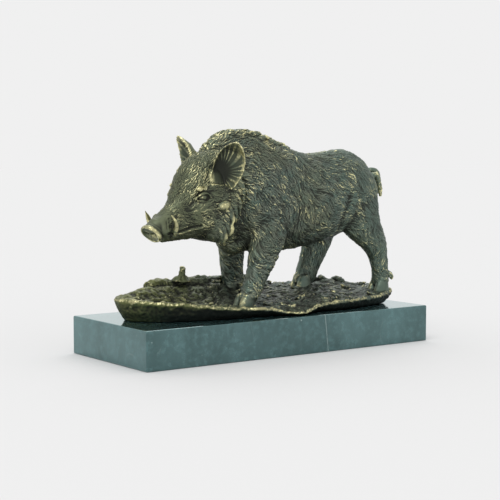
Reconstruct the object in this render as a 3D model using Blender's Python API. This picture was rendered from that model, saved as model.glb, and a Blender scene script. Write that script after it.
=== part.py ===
"""A cast bronze boar walking over its own piece of ground, on a polished dark green marble plinth.

Two solids: bronze_boar (the boar and its ground are one casting) and marble_plinth.
Metres, +Z up. The origin is the middle of the plinth's underside, and the boar faces -X.
The figure is drawn in shares of its own height, so FIGURE_HEIGHT alone sizes the casting.
"""

from math import atan2, copysign, cos, exp, pi, radians, sin

import bmesh
import bpy
from mathutils import Matrix, Vector, noise
from mathutils.kdtree import KDTree

# Driving dimensions, in metres
PLINTH_LENGTH = 0.275
PLINTH_WIDTH = 0.112
PLINTH_HEIGHT = 0.030
PLINTH_EDGE_ROUND = 0.0012
FIGURE_HEIGHT = 0.1485
SEAT_GAP = 0.0003

# The figure's own drawing unit: it stands 148.5 units from its foot to the crest of its mane
UNIT = FIGURE_HEIGHT / 148.5
SKIN_VOXEL = 1.3
CARVED_VOXEL = 0.95
BRONZE_TRIANGLES = 9700
RING_SIDES = 28
# The head keeps smaller triangles: from here forward, above this height, by this much
FINE_FROM, FINE_ABOVE, FINE_WEIGHT, FINE_FACTOR = 6, 57, 0.2, 0.01

# Trunk stations: x, crest height, belly height, half width, sideways middle, ridge sharpness
TRUNK = [
    (-58, 124, 76, 17, -9.5, 0.30),
    (-46, 138, 62, 21, -6.5, 0.42),
    (-35, 144.5, 56, 22.5, -4.2, 0.48),
    (-22, 146.3, 51.5, 26.5, -3, 0.55),
    (-8, 144, 49.5, 29.5, -3, 0.52),
    (6, 139.3, 48.5, 30, -3, 0.46),
    (20, 134.5, 48.8, 30.5, -3, 0.38),
    (36, 129, 50.2, 31, -3, 0.32),
    (51, 127, 52, 31, -3, 0.30),
    (65, 128, 55, 30, -3, 0.28),
    (80, 130.6, 60, 28.5, -3, 0.26),
    (93, 129.3, 66, 27, -3, 0.24),
    (103, 124, 71, 24, -3, 0.20),
    (110.5, 116.5, 75, 19.5, -3, 0.15),
    (116, 107.5, 81, 13, -3, 0.10),
    (118.5, 99, 89, 5, -3, 0),
]

# The head turns to the boar's left and tips to that side
HEAD_ORIGIN = (-45, -6, 0)
HEAD_TURN = radians(16)
HEAD_ROLL = radians(5.5)
HEAD_ROLL_HEIGHT = 95
# Head stations: top point (forward, up), bottom point (forward, up), half width, share where it is widest
HEAD = [
    (-12, 126, -12, 62, 17, 0.45),
    (2, 130, 2, 59, 21, 0.44),
    (13, 129, 12, 59.5, 21, 0.42),
    (23, 125, 19.5, 61, 19, 0.44),
    (33, 119, 26.5, 62, 16.8, 0.46),
    (40, 109, 33, 62, 14.2, 0.47),
    (44.5, 98, 40, 61.6, 11.9, 0.47),
    (50.5, 89.5, 46.5, 61, 11, 0.48),
    (58, 83.2, 52.5, 60.6, 10, 0.50),
    (65.5, 79.2, 57, 60.4, 9, 0.50),
    (70, 77, 59.5, 60.6, 8, 0.50),
]
# How square the head's cross-sections are: 1 is an ellipse, less is squarer
HEAD_SQUARE = 0.8
SNOUT_MIDDLE = (69.6, 0, 67.4)
SNOUT_RADIUS = 8.5
SNOUT_LEAN = radians(44)
NOSTRIL_APART = 3.6
EYE = (31.6, 15, 95.4)
EYE_RADIUS = 3.5

EAR_ROOT = (13.5, 18, 104.5)
EAR_TIP = (15, 29, 138)
EAR_HALF_WIDTH = 12.4
EAR_WALL = 1.6
EAR_TURN_OUT = radians(13)
# The ear's half width along its length, as shares
EAR_OUTLINE = [(0, 0.5), (0.12, 0.74), (0.3, 0.95), (0.45, 1), (0.62, 0.93), (0.78, 0.74), (0.9, 0.5), (0.97, 0.28), (1, 0.12)]

# Tusk path on the left side: forward, sideways, height, radius
TUSK = [
    (54.5, 8, 66, 2.3), (56.5, 11.5, 68.5, 2.2), (57.2, 13.2, 72, 1.95), (58.4, 14, 75.6, 1.65), (60.6, 14, 79, 1.25),
    (63.8, 13.3, 82.6, 0.5),
]

# Legs: rows of x, y, z, half length fore and aft, half width, from the trunk down to the pastern
LEFT_FORELEG = [
    (2, -15, 108, 20, 12.5),
    (1, -18.5, 88, 19, 13),
    (-2, -20.5, 70, 17.5, 11.5),
    (-5.5, -21.5, 55, 15.5, 9.5),
    (-10.5, -22, 40, 11.5, 8.2),
    (-16, -22.5, 29, 9.4, 7.4),
    (-20.5, -23, 20, 8.6, 7.0),
    (-24.5, -23, 12.5, 8.0, 6.8),
    (-27, -23, 8, 7.2, 6.4),
]
RIGHT_FORELEG = [
    (-6, 9, 108, 18, 12.5),
    (-9, 13, 86, 17, 12),
    (-12, 14.5, 66, 14.5, 10.5),
    (-14, 15, 51, 11, 8.8),
    (-13.5, 15.5, 38, 9.6, 8),
    (-12.5, 16, 28, 9.2, 7.4),
    (-12.5, 16, 20, 9, 7.2),
    (-13.5, 16, 14, 8, 6.8),
]
LEFT_HINDLEG = [
    (89.5, -13, 106, 20, 13),
    (92.5, -16, 90, 20.5, 13),
    (94.5, -18, 74, 19.5, 12),
    (99, -18.5, 62, 19.5, 10.5),
    (102.8, -19, 57, 18, 9.5),
    (109.4, -20, 48, 12.4, 8.2),
    (112.9, -20.5, 41, 9.2, 7.2),
    (115, -20.5, 33, 7.9, 6.8),
    (116, -20.5, 24, 7.2, 6.6),
    (116, -20.5, 15, 7.6, 6.6),
]
RIGHT_HINDLEG = [
    (84, 8, 106, 20, 12.5),
    (82, 11.5, 88, 19.5, 13),
    (79, 13.5, 70, 17.5, 11.5),
    (76, 14.5, 55, 14.8, 9.6),
    (72.5, 14.5, 44, 12.8, 8.2),
    (67, 14.5, 33, 11, 7.4),
    (63, 14.5, 24, 10.2, 7),
    (60.5, 14.5, 17, 9.4, 6.6),
]
# Each hoof: x, y and height of the ground under it
HOOVES = [(-29, -23, 6.8), (-17, 16, 14), (113.5, -20.5, 11.5), (57, 14.5, 14.5)]
HOOF_LENGTH = 15.5
HOOF_HALF_WIDTH = 4.0
HOOF_HEIGHT = 10

# Muscle and fur masses: middle, half sizes
MASSES = [
    ((-3, -16.5, 88), (22, 14, 28)),
    ((-5, 10.5, 88), (22, 14, 28)),
    ((93, -13.5, 91), (19, 14, 25)),
    ((91.5, 7.5, 91), (19, 14, 25)),
    ((-24, -3, 64), (17, 13, 17)),
    ((104, -15, 80), (10.5, 11, 22)),
]
# On the head, on both sides: cheek bone, jowl, and the flesh beside the snout
HEAD_MASSES = [
    ((22, 12, 84), (18, 8, 17)),
    ((9, 12.5, 74), (15, 9.5, 15)),
    ((60, 6.6, 71.5), (9, 4.4, 6.5)),
]
# Small forms on both sides of the head, added after the flesh is smoothed: middle, half sizes, tilt
HEAD_DETAILS = [
    ((32.4, 14.4, 100.8), (6.4, 3, 2.2), radians(14)),
    ((31, 15.6, 91.4), (4.8, 1.6, 1.2), radians(12)),
    (EYE, (EYE_RADIUS, EYE_RADIUS * 0.75, EYE_RADIUS), 0),
    ((-1, 22, 89), (4.6, 2.6, 2.8), radians(20)),
]
# Hollows pressed into the flesh: path points, reach, depth. The first group is on the head, both sides
HEAD_HOLLOWS = [
    ([(35, 15, 94.8), (28.5, 16, 95.8)], 5, 2.4),
    ([(52, 9, 82), (44, 12, 86)], 6, 1.2),
]
BODY_HOLLOWS = [
    ([(-33, -25, 100), (-34, -24, 84), (-32, -22, 68), (-28, -18, 58)], 9, 2.2),
    ([(-35, 18, 100), (-35, 17, 84), (-33, 15, 68)], 9, 2.2),
]
# Grooves cut last: the mouth, on both sides of the head
MOUTH = [(60, 10, 67.2), (55, 12, 67.8), (49, 13, 68.6), (42, 14.5, 69.8), (36.5, 15.5, 71.6), (32.5, 16, 73.6)]
MOUTH_GROOVE = (1.7, 1.7)
NOSTRIL_HOLLOW = (2.3, 2.8)

# The ground: outline of its rim and of its foot, and the rim's height by compass angle
RIM_LEFT, RIM_RIGHT, RIM_FRONT, RIM_BACK = 130, 130, 45, 43
FOOT_INSET = 9
FOOT_DEPTH = 3
TONGUE_ANGLE, TONGUE_WIDTH, TONGUE_REACH = radians(-84), 0.30, 4.5
# The sharp corner of the rim behind the boar's left hind hoof
CORNER_ANGLE, CORNER_WIDTH, CORNER_REACH = radians(-11), 0.06, 3.5
RIM_HEIGHT = [
    (-180, 17.5), (-172, 16.5), (-160, 14), (-148, 10.5), (-135, 8.8), (-112, 7.2), (-97, 4.6), (-84, 2.6),
    (-72, 3.6), (-58, 7.4), (-40, 8.2), (-20, 8.8), (-9, 12), (20, 13), (60, 15), (100, 16), (140, 17), (165, 18), (180, 17.5),
]
# The ground's slope: height under the middle, rise per unit to the boar's right, rise per unit to the rear
GROUND_SLOPE = (11.4, 0.14, 0.03)
# Mounds on the ground: x, y, height, radius
MOUNDS = [(-106, 8, 12, 15), (-86, 13, 9, 17), (-60, 13, 6.5, 17), (-34, 12, 3.5, 13), (40, -5, 1.5, 16), (88, 14, 3, 12)]
LOG_START, LOG_END, LOG_RADIUS = (-92, 18, 20), (4, 24, 21), 6.6
STUB_FOOT, STUB_TIP, STUB_RADIUS = (-62, 16, 24), (-61.5, 14.5, 36.6), 2.7
# Stones on the ground: x, y, z, radius
STONES = [(76, 24, 17, 5.5), (85, 20, 16.5, 5), (97, 12, 15.5, 5.5), (69, 29, 17, 4.2), (-113, 8, 18, 5.5), (-100, 0, 17, 5.5)]
LEAVES = 70
LEAF_SIZES = (4.2, 2.5, 1.3)

TAIL_MIDDLE, TAIL_TURN_RADIUS, TAIL_RADIUS = (121.5, -2.5, 107.5), 5.6, 2.3

BRONZE = ((0.085, 0.088, 0.055), 0.42, 0.9)
MARBLE = ((0.030, 0.058, 0.056), 0.12, 0.0)


def material(name, colour, roughness, metallic):
    """A Principled BSDF with plain values."""
    made = bpy.data.materials.new(name)
    made.use_nodes = True
    shader = made.node_tree.nodes["Principled BSDF"]
    shader.inputs["Base Color"].default_value = (*colour, 1)
    shader.inputs["Roughness"].default_value = roughness
    shader.inputs["Metallic"].default_value = metallic
    return made


def between(rows, steps):
    """The rows with steps smooth (Catmull-Rom) rows from each one to the next."""
    out = []
    for i in range(len(rows) - 1):
        before, here = rows[max(i - 1, 0)], rows[i]
        after, beyond = rows[i + 1], rows[min(i + 2, len(rows) - 1)]
        for k in range(steps):
            t = k / steps
            out.append(tuple(
                b + 0.5 * t * (c - a + t * (2 * a - 5 * b + 4 * c - d + t * (3 * (b - c) + d - a)))
                for a, b, c, d in zip(before, here, after, beyond)
            ))
    return [*out, rows[-1]]


def read_off(rows, at):
    """The second value of rows of (position, value) at a position, on straight lines."""
    for (p, v), (q, w) in zip(rows, rows[1:]):
        if at <= q:
            return v + (w - v) * max(0, at - p) / (q - p)
    return rows[-1][1]


def smooth_step(t):
    t = min(1, max(0, t))
    return t * t * (3 - 2 * t)


def loft(bm, rings):
    """A closed skin through rings of points: a capped circle, extruded from ring to ring."""
    ring = bmesh.ops.create_circle(bm, cap_ends=True, radius=1, segments=len(rings[0]))["verts"]
    made = list(ring)
    for v, p in zip(ring, rings[0]):
        v.co = p
    for points in rings[1:]:
        old = set(ring)
        edges = [bm.edges.get((a, b)) for a, b in zip(ring, ring[1:] + ring[:1])]
        grown = bmesh.ops.extrude_edge_only(bm, edges=edges)["geom"]
        partner = {}
        for v in (g for g in grown if isinstance(g, bmesh.types.BMVert)):
            for e in v.link_edges:
                if e.other_vert(v) in old:
                    partner[e.other_vert(v)] = v
        ring = [partner[v] for v in ring]
        made += ring
        for v, p in zip(ring, points):
            v.co = p
    bmesh.ops.contextual_create(bm, geom=ring)
    bmesh.ops.recalc_face_normals(bm, faces=list({f for v in made for f in v.link_faces}))
    return made


def body_ring(middle, side, up, half_width, top, bottom, wide_at, ridge=0.0, square=1.0):
    """A cross-section: rounded, widest at a share of its height, and drawn in towards a ridge on top."""
    level = bottom + (top - bottom) * wide_at
    points = []
    for i in range(RING_SIDES):
        a = 2 * pi * (i + 0.5) / RING_SIDES
        rise = copysign(abs(sin(a)) ** square, sin(a))
        out = copysign(abs(cos(a)) ** square, cos(a))
        height = level + rise * (top - level if rise > 0 else level - bottom)
        reach = half_width * out * (1 - ridge * max(rise, 0) ** 1.5)
        points.append(middle + side * reach + up * height)
    return points


def trunk(bm):
    """Neck, chest, belly and rump."""
    rings = []
    for x, top, bottom, half_width, y, ridge in between(TRUNK, 3):
        rings.append(body_ring(Vector((x, y, 0)), Vector((0, 1, 0)), Vector((0, 0, 1)), half_width, top, bottom, 0.42, ridge))
    loft(bm, rings)


def tube(bm, path, sides=14, steps=3):
    """A round tapering limb through rows of x, y, z and radius."""
    rows = between(path, steps)
    rings = []
    side = None
    for i, row in enumerate(rows):
        here = Vector(row[:3])
        ahead = Vector(rows[min(i + 1, len(rows) - 1)][:3]) - Vector(rows[max(i - 1, 0)][:3])
        ahead.normalize()
        side = ahead.orthogonal() if side is None else side - ahead * side.dot(ahead)
        side.normalize()
        up = ahead.cross(side)
        rings.append([here + (side * cos(a) + up * sin(a)) * row[3] for a in (2 * pi * k / sides for k in range(sides))])
    return loft(bm, rings)


def ball(bm, middle, half_sizes, turn=None):
    """An ellipsoid."""
    matrix = Matrix.Translation(middle) @ (turn or Matrix.Identity(4)) @ Matrix.Diagonal((*half_sizes, 1))
    return bmesh.ops.create_uvsphere(bm, u_segments=20, v_segments=12, radius=1, matrix=matrix)["verts"]


def leg(bm, rows):
    rings = []
    for x, y, z, half_length, half_width in between(rows, 3):
        rings.append([
            Vector((x + half_length * cos(a), y + half_width * sin(a), z))
            for a in (2 * pi * k / 20 for k in range(20))
        ])
    loft(bm, rings)


def hoof(bm, x, y, z):
    """Two toes side by side, sloping at the front, and two dewclaws behind the pastern."""
    for side in (-1, 1):
        rings = []
        for rise, back, front, width in ((-3, -5, 0.62, 1.05), (0, -5, 0.62, 1.05), (0.45, -4.5, 0.5, 1), (1, -3.5, 0.25, 0.85)):
            level = z + (rise if rise < 0 else rise * HOOF_HEIGHT)
            nose = x - HOOF_LENGTH * front * 0.9 + 1.5
            heel = x - back + 3
            middle, half = (nose + heel) / 2, (heel - nose) / 2
            rings.append([
                Vector((middle + half * cos(a), y + side * HOOF_HALF_WIDTH + HOOF_HALF_WIDTH * width * sin(a), level))
                for a in (2 * pi * k / 16 for k in range(16))
            ])
        loft(bm, rings)
        tube(bm, [(x + 8, y + side * 3, z + 13.5, 2.6), (x + 11, y + side * 3.4, z + 12, 2.1), (x + 13.2, y + side * 3.6, z + 9, 0.8)], 10)


def head_matrix():
    """From the head's own frame (forward, to its left, up) to the figure's."""
    turn = Matrix.Rotation(HEAD_TURN, 4, "Z")
    frame = Matrix(((-1, 0, 0, 0), (0, -1, 0, 0), (0, 0, 1, 0), (0, 0, 0, 1)))
    lift = Matrix.Translation((0, 0, HEAD_ROLL_HEIGHT))
    roll = lift @ Matrix.Rotation(-HEAD_ROLL, 4, "X") @ lift.inverted()
    return Matrix.Translation(HEAD_ORIGIN) @ turn @ frame @ roll


def ear(bm, side):
    """A leaf-shaped cup that opens forward and outward, with a thick rim."""
    root = Vector((EAR_ROOT[0], side * EAR_ROOT[1], EAR_ROOT[2]))
    tip = Vector((EAR_TIP[0], side * EAR_TIP[1], EAR_TIP[2]))
    along = (tip - root).normalized()
    length = (tip - root).length
    opening = Vector((cos(EAR_TURN_OUT), side * sin(EAR_TURN_OUT), 0))
    opening = (opening - along * opening.dot(along)).normalized()
    across = along.cross(opening)
    rings = []
    levels, arcs = 22, 13
    for i in range(levels + 1):
        s = i / levels
        half = EAR_HALF_WIDTH * read_off(EAR_OUTLINE, s)
        depth = EAR_HALF_WIDTH * (0.92 - 0.62 * s) * min(1, 4 * (1.02 - s))
        centre = root + along * (length * s) - opening * (EAR_HALF_WIDTH * 0.25 * sin(pi * s))
        outer, inner = [], []
        for k in range(arcs):
            a = -1 + 2 * k / (arcs - 1)
            bend = (1 - a * a) ** 0.75
            skin = centre + across * (half * a) - opening * (depth * bend)
            wall = EAR_WALL * (1.1 - 0.2 * bend)
            outer.append(skin - opening * wall - across * (0.4 * a))
            inner.append(skin + opening * wall * 0.5)
        rings.append(outer + inner[::-1])
    return loft(bm, rings)


def put_on_head(bm, made):
    bmesh.ops.transform(bm, matrix=head_matrix(), verts=made)
    bmesh.ops.recalc_face_normals(bm, faces=list({f for v in made for f in v.link_faces}))


def skull(bm):
    """The head's flesh from the neck to the snout, made in the head's frame and turned into place."""
    rings = []
    for top_ahead, top, bottom_ahead, bottom, half_width, wide_at in between(HEAD, 3):
        foot = Vector((bottom_ahead, 0, bottom))
        up = Vector((top_ahead, 0, top)) - foot
        rings.append(body_ring(foot, Vector((0, 1, 0)), up.normalized(), half_width, up.length, 0, wide_at, 0.1, HEAD_SQUARE))
    made = loft(bm, rings)
    for side in (1, -1):
        for (ahead, out, level), sizes in HEAD_MASSES:
            made += ball(bm, (ahead, side * out, level), sizes)
    put_on_head(bm, made)


def snout_matrix():
    """From the snout disc's frame (its face looks along +Z, its top is +X) to the head's."""
    return Matrix.Translation(SNOUT_MIDDLE) @ Matrix.Rotation(SNOUT_LEAN + pi / 2, 4, "Y") @ Matrix.Rotation(pi, 4, "Z")


def features(bm):
    """Snout disc, ears, tusks, eyes and brows."""
    disc = snout_matrix()
    rings = []
    for offset, radius in ((-9, 0.8), (-4.6, 0.84), (-2.4, 0.88), (-1, 1.02), (0.8, 1.06), (1.9, 1.0), (2.1, 0.86), (0.9, 0.72), (0.7, 0.3)):
        rings.append([
            disc @ Vector((SNOUT_RADIUS * radius * cos(a) * 0.97, SNOUT_RADIUS * radius * sin(a), offset))
            for a in (2 * pi * k / 28 for k in range(28))
        ])
    made = loft(bm, rings)
    for side in (1, -1):
        for (ahead, out, level), sizes, tilt in HEAD_DETAILS:
            made += ball(bm, (ahead, side * out, level), sizes, Matrix.Rotation(tilt, 4, "Y"))
        made += tube(bm, [(a, side * b, c, r) for a, b, c, r in TUSK], 12)
        made += ear(bm, side)
    put_on_head(bm, made)


def tail(bm):
    """One turn of a corkscrew from the rump, then the tuft hanging down."""
    x, y, z = TAIL_MIDDLE
    path = [(x - 14, y, z + 1, 4.2), (x - 9, y + 0.5, z + 4.5, 3.2)]
    for k in range(9):
        a = radians(150 - 40 * k)
        path.append((x + TAIL_TURN_RADIUS * cos(a), y + 2.5 - 0.95 * k, z + TAIL_TURN_RADIUS * sin(a), TAIL_RADIUS))
    path += [(x - 1, y - 6.5, z + 2, 2.2), (x + 2.5, y - 6.5, z - 6, 2.4), (x + 4.4, y - 6, z - 13, 1.9), (x + 5, y - 6, z - 17, 0.8)]
    tube(bm, path, 12, 2)


def mane(bm):
    """Bristle locks along the crest, from between the ears to the middle of the back."""
    locks = 18
    for k in range(locks):
        share = k / (locks - 1)
        x = -60 + 74 * share
        middle = read_off([(row[0], row[4]) for row in TRUNK], x)
        crest = read_off([(row[0], row[1]) for row in TRUNK], x)
        lift = (0.4 + 1.3 * abs(sin(2.1 * k))) * (1 - share)
        sway = 3.2 * sin(2.4 * k)
        tube(bm, [
            (x - 6, middle + sway * 0.4, crest - 6.5, 4.5),
            (x - 1, middle + sway, crest - 3.4, 3.8),
            (x + 4, middle + sway, crest - 2.4 + lift, 2.6),
            (x + 8.5, middle + sway, crest - 3 + lift * 0.5, 1.1),
        ], 10, 2)


def ruff(bm):
    """The fringe of long hair behind the jaw, on both cheeks."""
    matrix = head_matrix()
    for side in (1, -1):
        for k in range(6):
            root = (10 - 2.6 * k, side * (13 + 1.1 * k), 70 + 6.2 * k)
            made = tube(bm, [
                (root[0] + 4, root[1] - side * 3, root[2] + 5, 5),
                (root[0], root[1] + side * 1.5, root[2] - 1, 4.2),
                (root[0] - 4.5, root[1] + side * 2.6, root[2] - 8, 2.6),
                (root[0] - 7.5, root[1] + side * 2, root[2] - 13, 0.9),
            ], 10, 2)
            bmesh.ops.transform(bm, matrix=matrix, verts=made)


def rim_reach(angle):
    """How far the ground's rim is from its middle, in a compass direction."""
    c, s = cos(angle), sin(angle)
    a = RIM_RIGHT if c > 0 else RIM_LEFT
    b = RIM_BACK if s > 0 else RIM_FRONT
    power = 2.0 + 1.0 * smooth_step(c * 1.5 + 0.4)
    reach = (abs(c / a) ** power + abs(s / b) ** power) ** (-1 / power)
    for middle, width, extra in ((TONGUE_ANGLE, TONGUE_WIDTH, TONGUE_REACH), (CORNER_ANGLE, CORNER_WIDTH, CORNER_REACH)):
        turned = atan2(sin(angle - middle), cos(angle - middle))
        reach += extra * exp(-((turned / width) ** 2))
    return reach + 0.9 * sin(9 * angle + 1) + 0.7 * sin(17 * angle)


def ground_height(x, y):
    """The ground's upper surface away from the rim."""
    level, sideways, rearward = GROUND_SLOPE
    height = level + sideways * y + rearward * x
    for mx, my, rise, radius in MOUNDS:
        height += rise * exp(-(((x - mx) ** 2 + (y - my) ** 2) / radius ** 2))
    return height + 1.1 * noise.noise(Vector((x, y, 0)) / 9)


def ground(bm):
    """A dished piece of earth: flat foot, flared underside, wavy rim and uneven top."""
    angles = [2 * pi * k / 96 - pi for k in range(96)]
    rims = [(rim_reach(a), read_off(RIM_HEIGHT, a * 180 / pi)) for a in angles]

    def level(share_of, height_of):
        return [
            Vector((share_of(reach) * cos(a), share_of(reach) * sin(a), height_of(reach, z, a)))
            for a, (reach, z) in zip(angles, rims)
        ]

    def top(share):
        def height_of(reach, z, a):
            x, y = share * reach * cos(a), share * reach * sin(a)
            edge = smooth_step((share - 0.7) / 0.3)
            return ground_height(x, y) * (1 - edge) + z * edge
        return level(lambda reach: reach * share, height_of)

    rings = [
        level(lambda reach: reach - FOOT_INSET, lambda reach, z, a: -FOOT_DEPTH),
        level(lambda reach: reach - FOOT_INSET, lambda reach, z, a: 0),
        level(lambda reach: reach - FOOT_INSET * 0.45, lambda reach, z, a: max(0.4, (z - 4) * 0.5)),
        level(lambda reach: reach - 0.6, lambda reach, z, a: max(0.8, z - 3)),
        level(lambda reach: reach, lambda reach, z, a: max(1.4, z - 1.6)),
    ]
    rings += [top(share) for share in (0.985, 0.94, 0.88, 0.8, 0.7, 0.58, 0.45, 0.3, 0.15, 0.04)]
    loft(bm, rings)


def litter(bm):
    """The fallen branch with its broken stub, and the stones."""
    start, end = Vector(LOG_START), Vector(LOG_END)
    path = []
    for k in range(9):
        p = start.lerp(end, k / 8)
        path.append((p.x, p.y + 1.5 * sin(1.3 * k), p.z + 0.5 * sin(2.1 * k), LOG_RADIUS * (0.86 + 0.1 * sin(1.9 * k))))
    tube(bm, path, 16, 2)
    tube(bm, [(*STUB_FOOT, STUB_RADIUS * 1.9), (*Vector(STUB_FOOT).lerp(Vector(STUB_TIP), 0.45), STUB_RADIUS), (*STUB_TIP, STUB_RADIUS * 0.8)], 12, 2)
    for k, (x, y, z, radius) in enumerate(STONES):
        turn = Matrix.Rotation(0.9 * k, 4, "Z") @ Matrix.Rotation(0.3 * k, 4, "X")
        ball(bm, (x, y, z), (radius * 1.15, radius * 0.85, radius * 0.7), turn)
    for k in range(LEAVES):
        angle, share = 2.39996 * k, 0.86 * ((k + 0.5) / LEAVES) ** 0.5
        x, y = share * rim_reach(angle) * cos(angle), share * rim_reach(angle) * sin(angle)
        turn = Matrix.Rotation(1.7 * k, 4, "Z") @ Matrix.Rotation(0.45 * sin(3.1 * k), 4, "X") @ Matrix.Rotation(0.4 * cos(2.3 * k), 4, "Y")
        ball(bm, (x, y, ground_height(x, y) + 1.2), [size * (1 + 0.25 * sin(5.3 * k)) for size in LEAF_SIZES], turn)


def remeshed(bm, name, voxel, smoothings):
    """The shells in bm as one skin of small squares, evened out."""
    mesh = bpy.data.meshes.new(name)
    bm.to_mesh(mesh)
    bm.free()
    work = bpy.data.objects.new(name, mesh)
    bpy.context.scene.collection.objects.link(work)
    skin = work.modifiers.new("one_skin", "REMESH")
    skin.mode = "VOXEL"
    skin.voxel_size = voxel
    even = work.modifiers.new("even", "SMOOTH")
    even.factor = 0.5
    even.iterations = smoothings
    return applied(work, name)


def applied(work, name):
    """The evaluated mesh of an object, which is then removed."""
    graph = bpy.context.evaluated_depsgraph_get()
    graph.update()
    mesh = bpy.data.meshes.new_from_object(work.evaluated_get(graph))
    mesh.name = name
    bpy.data.objects.remove(work)
    return mesh


def pressed(mesh, paths):
    """Hollows in a mesh along paths: each is its points, how far it reaches sideways and how deep it goes."""
    finder = KDTree(len(mesh.vertices))
    for v in mesh.vertices:
        finder.insert(v.co, v.index)
    finder.balance()
    sunk = {}
    for points, reach, depth in paths:
        on_skin = [Vector(finder.find(p)[0]) for p in points]
        line = [a.lerp(b, k / 8) for a, b in zip(on_skin, on_skin[1:]) for k in range(8)] + on_skin[-1:]
        share = {}
        for p in line:
            for _, index, distance in finder.find_range(p, 1.6 * reach):
                share[index] = max(share.get(index, 0), exp(-1.6 * (distance / reach) ** 2))
        for index, part in share.items():
            sunk[index] = sunk.get(index, 0) + depth * part
    for index, depth in sunk.items():
        v = mesh.vertices[index]
        v.co -= v.normal * depth


def on_head(paths):
    """Paths given on the left of the head, in the figure's frame and on both sides."""
    matrix = head_matrix()
    return [
        ([matrix @ Vector((a, side * b, c)) for a, b, c in points], reach, depth)
        for points, reach, depth in paths for side in (1, -1)
    ]


def thinned(mesh, name, triangles):
    """The same form with a stated number of triangles, finer on the head."""
    work = bpy.data.objects.new(name, mesh)
    bpy.context.scene.collection.objects.link(work)
    finer = work.vertex_groups.new(name="finer")
    to_head = head_matrix().inverted()
    head_now = [v.index for v in mesh.vertices if (to_head @ v.co).x > FINE_FROM and v.co.z > FINE_ABOVE]
    finer.add(range(len(mesh.vertices)), 1, "REPLACE")
    finer.add(head_now, FINE_WEIGHT, "REPLACE")
    fewer = work.modifiers.new("fewer", "DECIMATE")
    fewer.ratio = triangles / (2 * len(mesh.polygons))
    fewer.vertex_group = finer.name
    fewer.vertex_group_factor = FINE_FACTOR
    return applied(work, name)


def bronze_boar():
    flesh = bmesh.new()
    trunk(flesh)
    for middle, sizes in MASSES:
        ball(flesh, middle, sizes)
    for rows in (LEFT_FORELEG, RIGHT_FORELEG, LEFT_HINDLEG, RIGHT_HINDLEG):
        leg(flesh, rows)
    skull(flesh)
    soft = remeshed(flesh, "flesh", SKIN_VOXEL, 18)
    pressed(soft, on_head(HEAD_HOLLOWS) + BODY_HOLLOWS)

    fine = bmesh.new()
    features(fine)
    mane(fine)
    ruff(fine)
    tail(fine)
    for x, y, z in HOOVES:
        hoof(fine, x, y, z)
    ground(fine)
    litter(fine)
    forms = bpy.data.meshes.new("forms")
    fine.to_mesh(forms)
    fine.free()
    carved = bmesh.new()
    carved.from_mesh(soft)
    carved.from_mesh(forms)
    mesh = remeshed(carved, "carved", CARVED_VOXEL, 2)
    nostril = snout_matrix() @ Vector((0, NOSTRIL_APART, 0))
    pressed(mesh, on_head([(MOUTH, *MOUTH_GROOVE), ([tuple(nostril)], *NOSTRIL_HOLLOW)]))
    mesh = thinned(mesh, "bronze_boar", BRONZE_TRIANGLES)

    # The foot is cut flat where it stands on the plinth
    cut = bmesh.new()
    cut.from_mesh(mesh)
    everything = [*cut.verts, *cut.edges, *cut.faces]
    opened = bmesh.ops.bisect_plane(cut, geom=everything, dist=1e-5, plane_co=(0, 0, 0), plane_no=(0, 0, 1), clear_inner=True)
    edges = [g for g in opened["geom_cut"] if isinstance(g, bmesh.types.BMEdge)]
    bmesh.ops.triangle_fill(cut, edges=edges, use_beauty=True, normal=(0, 0, -1))
    bmesh.ops.triangulate(cut, faces=cut.faces)
    bmesh.ops.scale(cut, vec=(UNIT, UNIT, UNIT), verts=cut.verts)
    bmesh.ops.translate(cut, vec=(0, 0, PLINTH_HEIGHT + SEAT_GAP), verts=cut.verts)
    bmesh.ops.recalc_face_normals(cut, faces=cut.faces)
    cut.to_mesh(mesh)
    cut.free()
    mesh.shade_smooth()
    return mesh


def marble_plinth():
    """A rectangular slab with slightly rounded edges."""
    bm = bmesh.new()
    size = Matrix.Diagonal((PLINTH_LENGTH, PLINTH_WIDTH, PLINTH_HEIGHT, 1))
    bmesh.ops.create_cube(bm, size=1, matrix=Matrix.Translation((0, 0, PLINTH_HEIGHT / 2)) @ size)
    bmesh.ops.bevel(bm, geom=[*bm.edges], offset=PLINTH_EDGE_ROUND, segments=3, profile=0.5, affect="EDGES", material=-1)
    mesh = bpy.data.meshes.new("marble_plinth")
    bm.to_mesh(mesh)
    bm.free()
    return mesh


def show(name, mesh, look):
    mesh.materials.clear()
    mesh.materials.append(look)
    part = bpy.data.objects.new(name, mesh)
    bpy.context.scene.collection.objects.link(part)
    return part


def main():
    for old in list(bpy.data.objects):
        bpy.data.objects.remove(old)
    show("marble_plinth", marble_plinth(), material("marble", *MARBLE))
    show("bronze_boar", bronze_boar(), material("bronze", *BRONZE))


main()
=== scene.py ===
"""A cast bronze boar walking over its own piece of ground, on a polished dark green marble plinth.

The figure is drawn in units of one millimetre from its foot, and put on the plinth in metres at the end.
"""

from math import atan2, copysign, cos, exp, pi, radians, sin

import bmesh
import bpy
import numpy as np
from bpy.props import FloatProperty, FloatVectorProperty, IntProperty, PointerProperty
from mathutils import Matrix, Vector, noise
from mathutils.kdtree import KDTree


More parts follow.
